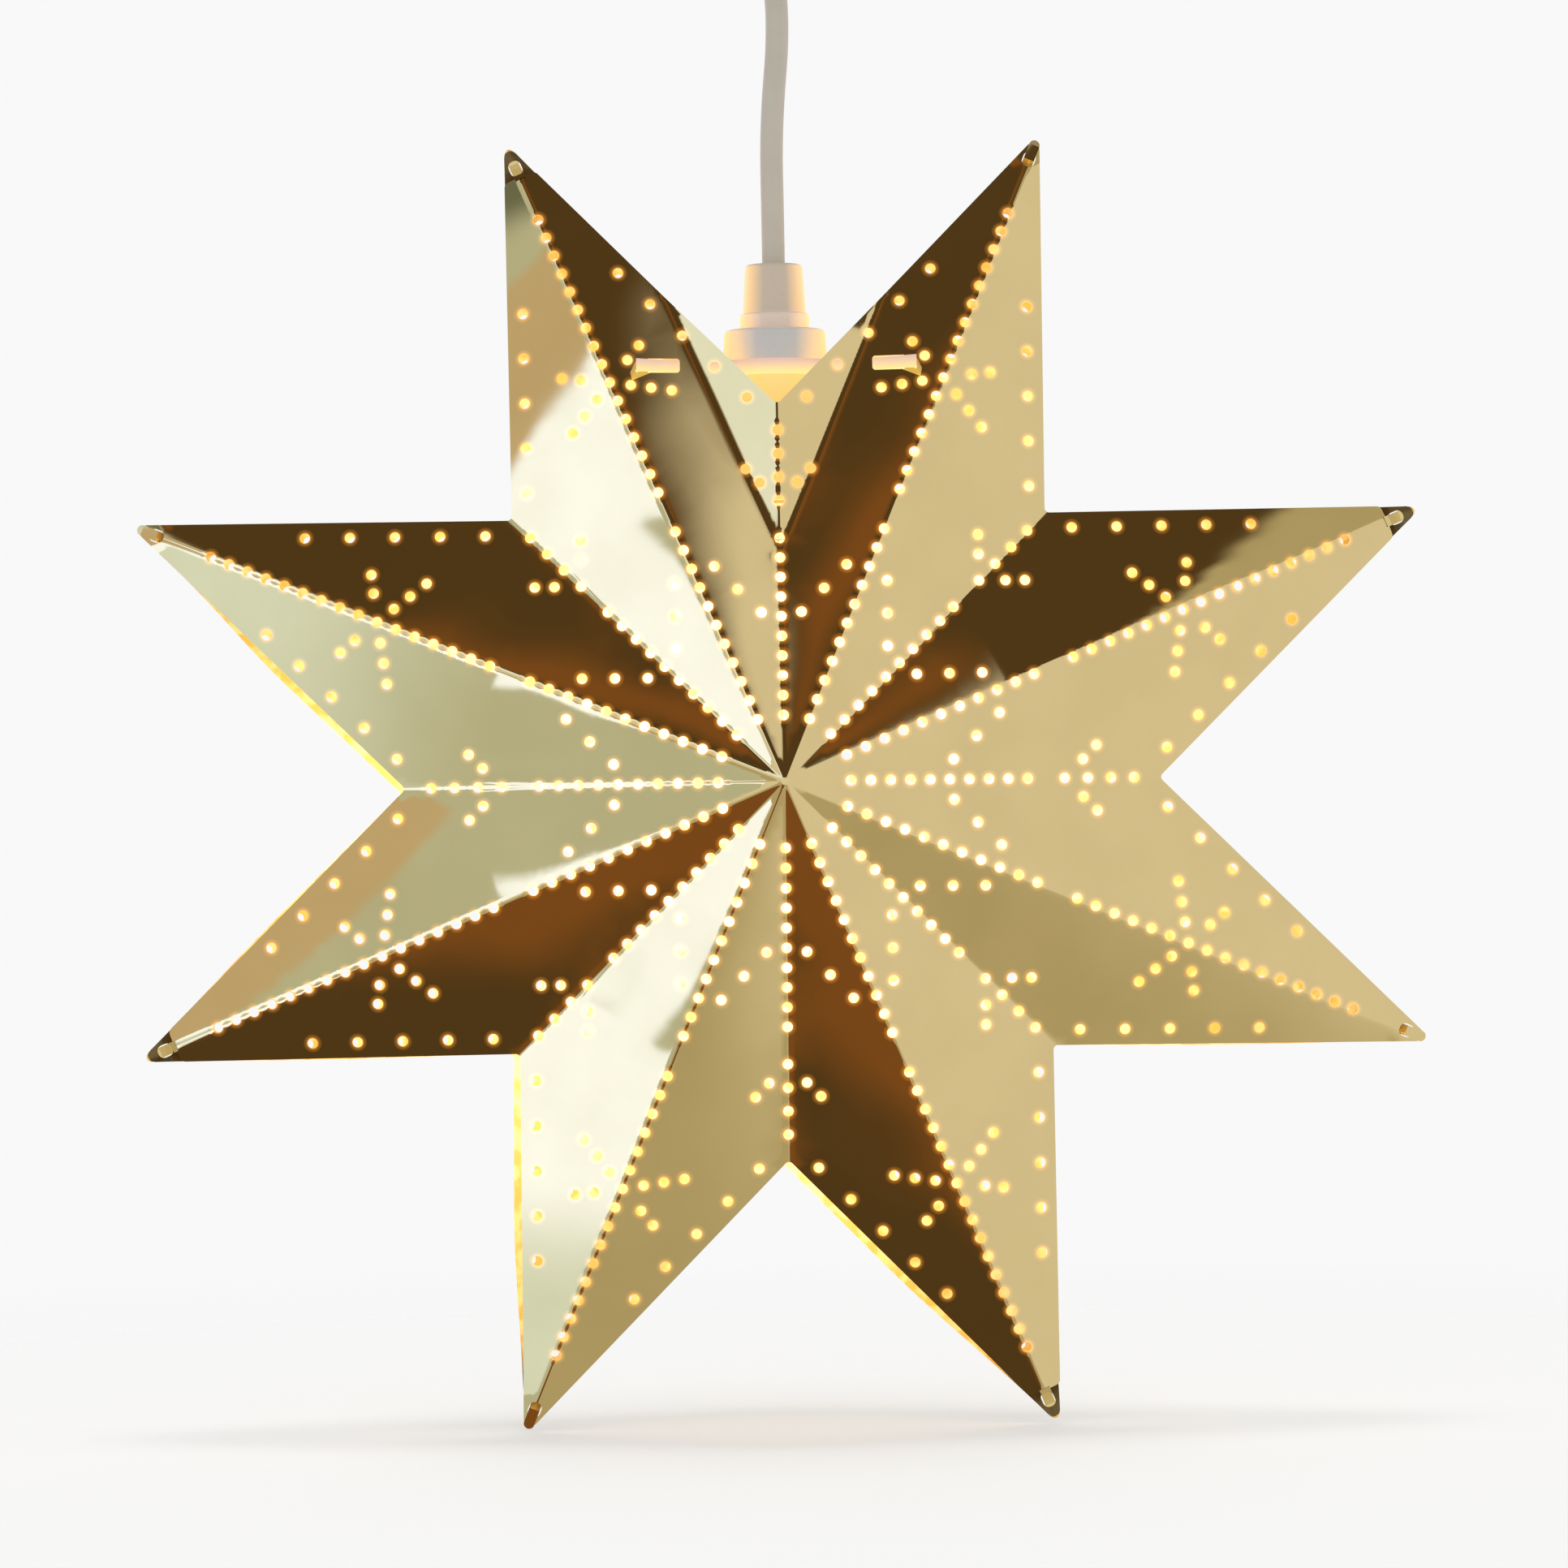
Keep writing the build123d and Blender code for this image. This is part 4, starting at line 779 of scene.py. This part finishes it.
def lit_brass():
    """The shells' inside, brightly lit by the bulb and less so towards the points, its colour darkened deep
    in the points as painted shade.
    """
    made, tree = new_tree("star_brass_inside")
    smudge = noise(tree, 60.0, 4.0)
    patch = ranged(tree, noise(tree, 240.0, 1.0), 0.0, 1.0, 0.42, 0.60)
    outward = from_centre(tree, 0.0, 1.0, LIT_COLOUR_REACH)
    light = blended(tree, outward, (1.0, 0.92, 0.66), (1.0, 0.66, 0.25))
    deep = blended(tree, outward, (0.85, 0.58, 0.20), (0.68, 0.34, 0.06))
    level = from_centre(tree, 1.7, 0.78, LIT_LEVEL_REACH)
    fading = from_centre(tree, 1.0, 0.05, LIT_END_REACH)
    # painted shade: the inside's colour darkens deep in the points
    point_shade = from_centre(tree, 0.0, 1.0, POINT_SHADE_REACH)
    principled(tree, {
        "Base Color": blended(tree, point_shade, (0.48, 0.38, 0.18), (0.12, 0.09, 0.04)),
        "Metallic": 1.0,
        "Roughness": ranged(tree, smudge, 0.22, 0.34),
        "Emission Color": blended(tree, patch, light, deep),
        "Emission Strength": product(tree, level, fading),
    })
    return made


def cut_edge():
    """Sheared edge of the sheet, coloured by the light from inside."""
    made, tree = new_tree("star_brass_edge")
    grain = noise(tree, 900.0, 2.0)
    principled(tree, {
        "Base Color": (0.70, 0.52, 0.22, 1.0),
        "Metallic": 1.0,
        "Roughness": ranged(tree, grain, 0.3, 0.5),
        "Emission Color": mottled(tree, grain, (1.0, 0.50, 0.10), (1.0, 0.62, 0.18)),
        "Emission Strength": 0.8,
    })
    return made


def plastic(name, light, dark, roughness, grain=700.0):
    """Moulded plastic: slightly mottled colour, fine grain."""
    made, tree = new_tree(name)
    mottle = noise(tree, 90.0, 3.0)
    fine = noise(tree, grain, 4.0)
    principled(tree, {
        "Base Color": mottled(tree, mottle, light, dark),
        "Roughness": ranged(tree, fine, roughness - 0.06, roughness + 0.06),
        "Normal": bumped(tree, fine, 0.25, GRAIN_DEPTH),
    })
    return made


def metal(name, light, dark, roughness, stretch):
    """Machined or rolled metal with fine marks."""
    made, tree = new_tree(name)
    marks = noise(tree, 500.0, 5.0, stretch)
    principled(tree, {
        "Base Color": mottled(tree, marks, light, dark),
        "Metallic": 1.0,
        "Roughness": ranged(tree, marks, roughness - 0.07, roughness + 0.07),
        "Normal": bumped(tree, marks, 0.15, FINE_DEPTH),
    })
    return made


def cap_plastic():
    """The lampholder's cap: light from between the shells reaches its two sides and shines in the plastic."""
    made, tree = new_tree("holder_plastic_cap")
    fine = noise(tree, 800.0, 3.0)
    lower = blended(tree, upwards(tree, CAP_RING_START), (0.68, 0.68, 0.69), (0.96, 0.81, 0.70))
    facing = add(tree, "SeparateXYZ", {0: add(tree, "NewGeometry").outputs["Normal"]}).outputs["X"]
    sideways = add(tree, "Math", {0: facing}, operation="ABSOLUTE").outputs["Value"]
    principled(tree, {
        "Base Color": blended(tree, upwards(tree, CAP_NECK_START), lower, (0.75, 0.64, 0.51)),
        "Roughness": ranged(tree, fine, 0.26, 0.36),
        "Normal": bumped(tree, fine, 0.15, FINE_DEPTH),
        "Emission Color": (1.0, 0.52, 0.10, 1.0),
        "Emission Strength": ranged(tree, sideways, 0.0, 0.62, *CAP_LIT_FACING),
    })
    return made


def lit_plastic(name, upper, lower, heights):
    """White plastic inside the star, glowing in the bulb's light, whose colour changes with height."""
    made, tree = new_tree(name)
    fine = noise(tree, 800.0, 3.0)
    principled(tree, {
        "Base Color": LIT_BASE,
        "Roughness": ranged(tree, fine, 0.28, 0.4),
        "Normal": bumped(tree, fine, 0.15, FINE_DEPTH),
        "Emission Color": blended(tree, upwards(tree, heights), lower, upper),
        "Emission Strength": LIT_STRENGTH,
    })
    return made


def clear_glass():
    """Thin bulb glass, faintly uneven, that lets the filaments' light pass."""
    made, tree = new_tree("clear_glass_bulb")
    uneven = noise(tree, 60.0, 2.0)
    glass = add(tree, "BsdfGlass", {
        "Color": (0.99, 0.985, 0.97, 1.0), "IOR": 1.45, "Roughness": ranged(tree, uneven, 0.0, 0.03),
    })
    shadow = add(tree, "LightPath").outputs["Is Shadow Ray"]
    passing = add(tree, "BsdfTransparent")
    mixed = add(tree, "MixShader", {0: shadow, 1: glass.outputs["BSDF"], 2: passing.outputs["BSDF"]})
    output(tree, mixed.outputs["Shader"])
    return made


def filament():
    """Coated filament stick, glowing with slight unevenness along it."""
    made, tree = new_tree("filament_glow_stick")
    beads = noise(tree, 900.0, 2.0)
    principled(tree, {
        "Base Color": (0.9, 0.7, 0.3, 1.0),
        "Roughness": 0.5,
        "Emission Color": (1.0, 0.72, 0.34, 1.0),
        "Emission Strength": ranged(tree, beads, 14.0, 20.0),
    })
    return made


def node_finishes():
    """Materials of the CAD nodes, by the nodes' names."""
    return {
        "ceiling_cup": plastic(
            "white_cover_moulded", (0.86, 0.85, 0.82), (0.83, 0.82, 0.79), roughness=0.34),
        "swivel_bush bush_ring": plastic(
            "white_fitting_moulded", (0.84, 0.83, 0.80), (0.80, 0.79, 0.76), roughness=0.30),
        "terminal_block": plastic(
            "terminal_plastic_moulded", (0.80, 0.79, 0.74), (0.74, 0.73, 0.68), roughness=0.42),
        "contact_block": plastic(
            "insert_plastic_moulded", (0.72, 0.68, 0.60), (0.66, 0.62, 0.54), roughness=0.48),
        "top_cores holder_cores": plastic(
            "core_sheath_soft", (0.62, 0.40, 0.24), (0.55, 0.35, 0.20), roughness=0.45),
        "cap_insulator": plastic(
            "black_insulator_glass", (0.02, 0.02, 0.022), (0.04, 0.04, 0.045), roughness=0.16),
        "ceiling_plate cup_screws grip_screw filament_wires": metal(
            "zinc_steel_rolled", (0.64, 0.65, 0.67), (0.52, 0.53, 0.55), 0.34, (1.0, 6.0, 6.0)),
        "gimbal_ring sway_pins swing_pins cord_grip": metal(
            "zinc_steel_turned", (0.70, 0.70, 0.71), (0.60, 0.60, 0.61), 0.27, (1.0, 1.0, 8.0)),
        "terminal_screws contact_screws screw_shell centre_contact": metal(
            "contact_brass_turned", (0.76, 0.60, 0.28), (0.66, 0.50, 0.22), 0.30, (1.0, 1.0, 5.0)),
        "bulb_cap cap_eyelet": metal(
            "bulb_metal_rolled", (0.74, 0.73, 0.70), (0.64, 0.63, 0.60), 0.28, (1.0, 1.0, 4.0)),
        "holder_cap": cap_plastic(),
        "cord_clamp": plastic(
            "holder_plastic_clamp", (0.80, 0.72, 0.62), (0.74, 0.66, 0.56), roughness=0.4),
        "holder_bracket": lit_plastic(
            "holder_plastic_bracket", (0.72, 0.45, 0.38), (1.0, 0.78, 0.28), BRACKET_LIT),
        "holder_body": lit_plastic(
            "holder_plastic_body", (1.0, 0.62, 0.18), (1.0, 0.50, 0.10), BODY_LIT),
        "bulb_glass bulb_stem": clear_glass(),
        "bulb_filaments": filament(),
    }


def dress(cord, shells):
    """Every CAD node and every new piece gets its material."""
    for names, finish in node_finishes().items():
        for name in names.split():
            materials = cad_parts[name].data.materials
            materials.clear()
            materials.append(finish)
    sheath = plastic("cord_sheath_soft", (0.70, 0.65, 0.56), (0.66, 0.61, 0.52), roughness=0.42, grain=350.0)
    cord.data.materials.append(sheath)
    sheet = (polished_brass(), lit_brass(), cut_edge())
    for shell in shells:
        for finish in sheet:
            shell.data.materials.append(finish)


def between(values, start, end, softness):
    """Share of a card at some directions: 1 inside its two edges, 0 outside, soft across an edge."""
    after_start = smooth_step(values, start - softness, start + softness)
    return after_start * (1 - smooth_step(values, end - softness, end + softness))


def toned(tones, share, tone):
    """Tones changed towards another one by a share at each place."""
    return tones + share[..., None] * (np.array(tone) - tones)


def grid_faces(columns, rows, closed):
    """Faces between the places of a grid, column by column; a closed grid's last column meets its first."""
    faces = []
    for column in range(columns if closed else columns - 1):
        here, there = column * rows, (column + 1) % columns * rows
        faces += [(here + i, there + i, there + i + 1, here + i + 1) for i in range(rows - 1)]
    return faces


def far_cards():
    """Places, faces and tones of the cards round the viewing axis, alike before and behind the star."""
    around, away = np.meshgrid(
        np.arange(STUDIO_COLUMNS) * 360 / STUDIO_COLUMNS, np.linspace(*STUDIO_POLAR, STUDIO_ROWS),
        indexing="ij")
    folded = np.minimum(away, 180 - away)
    tones = np.ones((STUDIO_COLUMNS, STUDIO_ROWS, 3)) * STUDIO_WALL
    for round_edges, away_edges, tone in STUDIO_CARDS:
        tones = toned(tones, between(around, *round_edges) * between(folded, *away_edges), tone)
    turn, tilt = np.radians(around), np.radians(away)
    outward = np.stack((np.sin(tilt) * np.cos(turn), -np.cos(tilt), np.sin(tilt) * np.sin(turn)), axis=2)
    places = outward.reshape(-1, 3) * STUDIO_RADIUS + (0, 0, STAR_CENTRE_Z * MM)
    return places, grid_faces(STUDIO_COLUMNS, STUDIO_ROWS, closed=True), tones.reshape(-1, 3)


def facet_depth(points, valley, ridge):
    """Depth of one facet as in shell_depth, carried on beyond its folds."""
    x, y = points[:, 0], points[:, 1]
    side = 1 if ridge > valley else -1
    in_valley, on_ridge = radians(valley), radians(ridge)
    along = x * cos(in_valley) + y * sin(in_valley)
    across = side * (y * cos(in_valley) - x * sin(in_valley))
    aside = side * (x * sin(on_ridge) - y * cos(on_ridge))
    depth = APEX_DEPTH - VALLEY_SLOPE * along + VALLEY_SIDE * across
    return depth + bow(across, aside) + waves(x, y)


def near_card(eye, valley, ridge, start_radius, tone, borders):
    """Places, faces and tones of the card that one facet mirrors to the camera."""
    side = 1 if ridge > valley else -1
    columns, rows = NEAR_GRID
    turns = np.radians(np.linspace(valley - side * NEAR_MARGIN, ridge + side * NEAR_MARGIN, columns))
    radii = np.linspace(start_radius, NEAR_END, rows)
    turn, radius = [grid.ravel() for grid in np.meshgrid(turns, radii, indexing="ij")]
    flat = np.stack((radius * np.cos(turn), radius * np.sin(turn)), axis=1)

    def depth(points):
        return facet_depth(points, valley, ridge)

    places = np.column_stack((flat, depth(flat)))
    normals = unit_normals(depth, flat)
    to_eye = np.array((eye.x, eye.z - STAR_CENTRE_Z * MM, -eye.y)) / MM - places
    to_eye /= np.linalg.norm(to_eye, axis=1, keepdims=True)
    mirrored = 2 * np.sum(normals * to_eye, axis=1)[:, None] * normals - to_eye
    places = places + NEAR_DISTANCE * mirrored
    along = radius * np.cos(turn - radians(ridge))
    aside = side * radius * np.sin(radians(ridge) - turn)
    tones = np.ones((len(radius), 3)) * tone
    for start, slant, softness, beyond in borders:
        share = smooth_step(along - slant * aside, start - softness, start + softness)
        tones = toned(tones, share, beyond)
    world = np.stack((places[:, 0], -places[:, 2], places[:, 1] + STAR_CENTRE_Z), axis=1) * MM
    return world, grid_faces(columns, rows, closed=False), tones


def make_studio(eye):
    """Far and near cards as one mesh, seen only in reflections."""
    places, faces, tones = far_cards()
    for card in NEAR_CARDS:
        card_places, card_faces, card_tones = near_card(eye, *card)
        faces += [tuple(len(places) + corner for corner in face) for face in card_faces]
        places = np.concatenate((places, card_places))
        tones = np.concatenate((tones, card_tones))
    colours = np.column_stack((tones, np.ones(len(tones))))
    mesh = bpy.data.meshes.new("studio_cards")
    mesh.from_pydata(places.tolist(), [], faces)
    mesh.color_attributes.new("tone", "FLOAT_COLOR", "POINT").data.foreach_set("color", colours.ravel())
    made, tree = new_tree("studio_card")
    tone = add(tree, "Attribute", attribute_name="tone").outputs["Color"]
    output(tree, add(tree, "Emission", {"Color": tone}).outputs["Emission"])
    mesh.materials.append(made)
    cards = link("studio_cards", mesh)
    cards.visible_camera = False
    cards.visible_diffuse = False
    cards.visible_transmission = False
    cards.visible_shadow = False


def make_floor():
    """Plain pale floor just under the lowest points, fading into the white behind it."""
    mesh = bpy.data.meshes.new("floor")
    corners = box_corners((-FLOOR_REACH, -FLOOR_REACH), (FLOOR_REACH, FLOOR_REACH))
    mesh.from_pydata([(x, y, 0) for x, y in corners], [], [(0, 1, 2, 3)])
    made, tree = new_tree("pale_floor")
    cloud = noise(tree, 3.0, 2.0)
    pale = add(tree, "BsdfPrincipled", {
        "Base Color": mottled(tree, cloud, (0.93, 0.945, 0.96), (0.91, 0.925, 0.94)),
        "Roughness": 0.8,
    })
    away = add(tree, "VectorMath", {0: own_place(tree)}, operation="LENGTH").outputs["Value"]
    clear = add(tree, "BsdfTransparent")
    share = ranged(tree, away, FLOOR_SHARE, 0.0, *FLOOR_FADE)
    mixed = add(tree, "MixShader", {0: share, 1: clear.outputs["BSDF"], 2: pale.outputs["BSDF"]})
    output(tree, mixed.outputs["Shader"])
    mesh.materials.append(made)
    floor = link("floor", mesh)
    floor.location.z = FLOOR_Z
    floor.visible_glossy = False


def make_overhead():
    """Soft light from above, which the facets don't mirror."""
    data = bpy.data.lights.new("overhead", "AREA")
    data.shape = "DISK"
    data.size = OVERHEAD_SIZE
    data.energy = OVERHEAD_POWER
    data.color = (1.0, 0.98, 0.96)
    light = link("overhead", data)
    light.location = (0, 0, OVERHEAD_Z)
    light.visible_glossy = False
    light.visible_camera = False


def make_world():
    """Soft even light; white to the camera, to reflections and through glass."""
    world = bpy.data.worlds.new("soft_studio")
    bpy.context.scene.world = world
    world.use_nodes = True
    tree = world.node_tree
    tree.nodes.clear()
    path = add(tree, "LightPath").outputs
    seen = add(tree, "Math", {0: path["Is Camera Ray"], 1: path["Is Glossy Ray"]}, operation="ADD")
    seen = add(tree, "Math", {0: seen.outputs["Value"], 1: path["Is Transmission Ray"]}, operation="ADD")
    light = add(tree, "Background", {"Color": (1.0, 0.985, 0.96, 1.0), "Strength": WORLD_LIGHT})
    white = add(tree, "Background", {"Color": (1.0, 1.0, 1.0, 1.0), "Strength": WORLD_WHITE})
    mixed = add(tree, "MixShader", {0: seen.outputs["Value"], 1: light.outputs[0], 2: white.outputs[0]})
    add(tree, "OutputWorld", {"Surface": mixed.outputs["Shader"]})


eye = place_camera()
dress(make_cord(), make_shells())
make_studio(eye)
make_floor()
make_overhead()
make_world()
bpy.context.scene.view_settings.view_transform = "Standard"
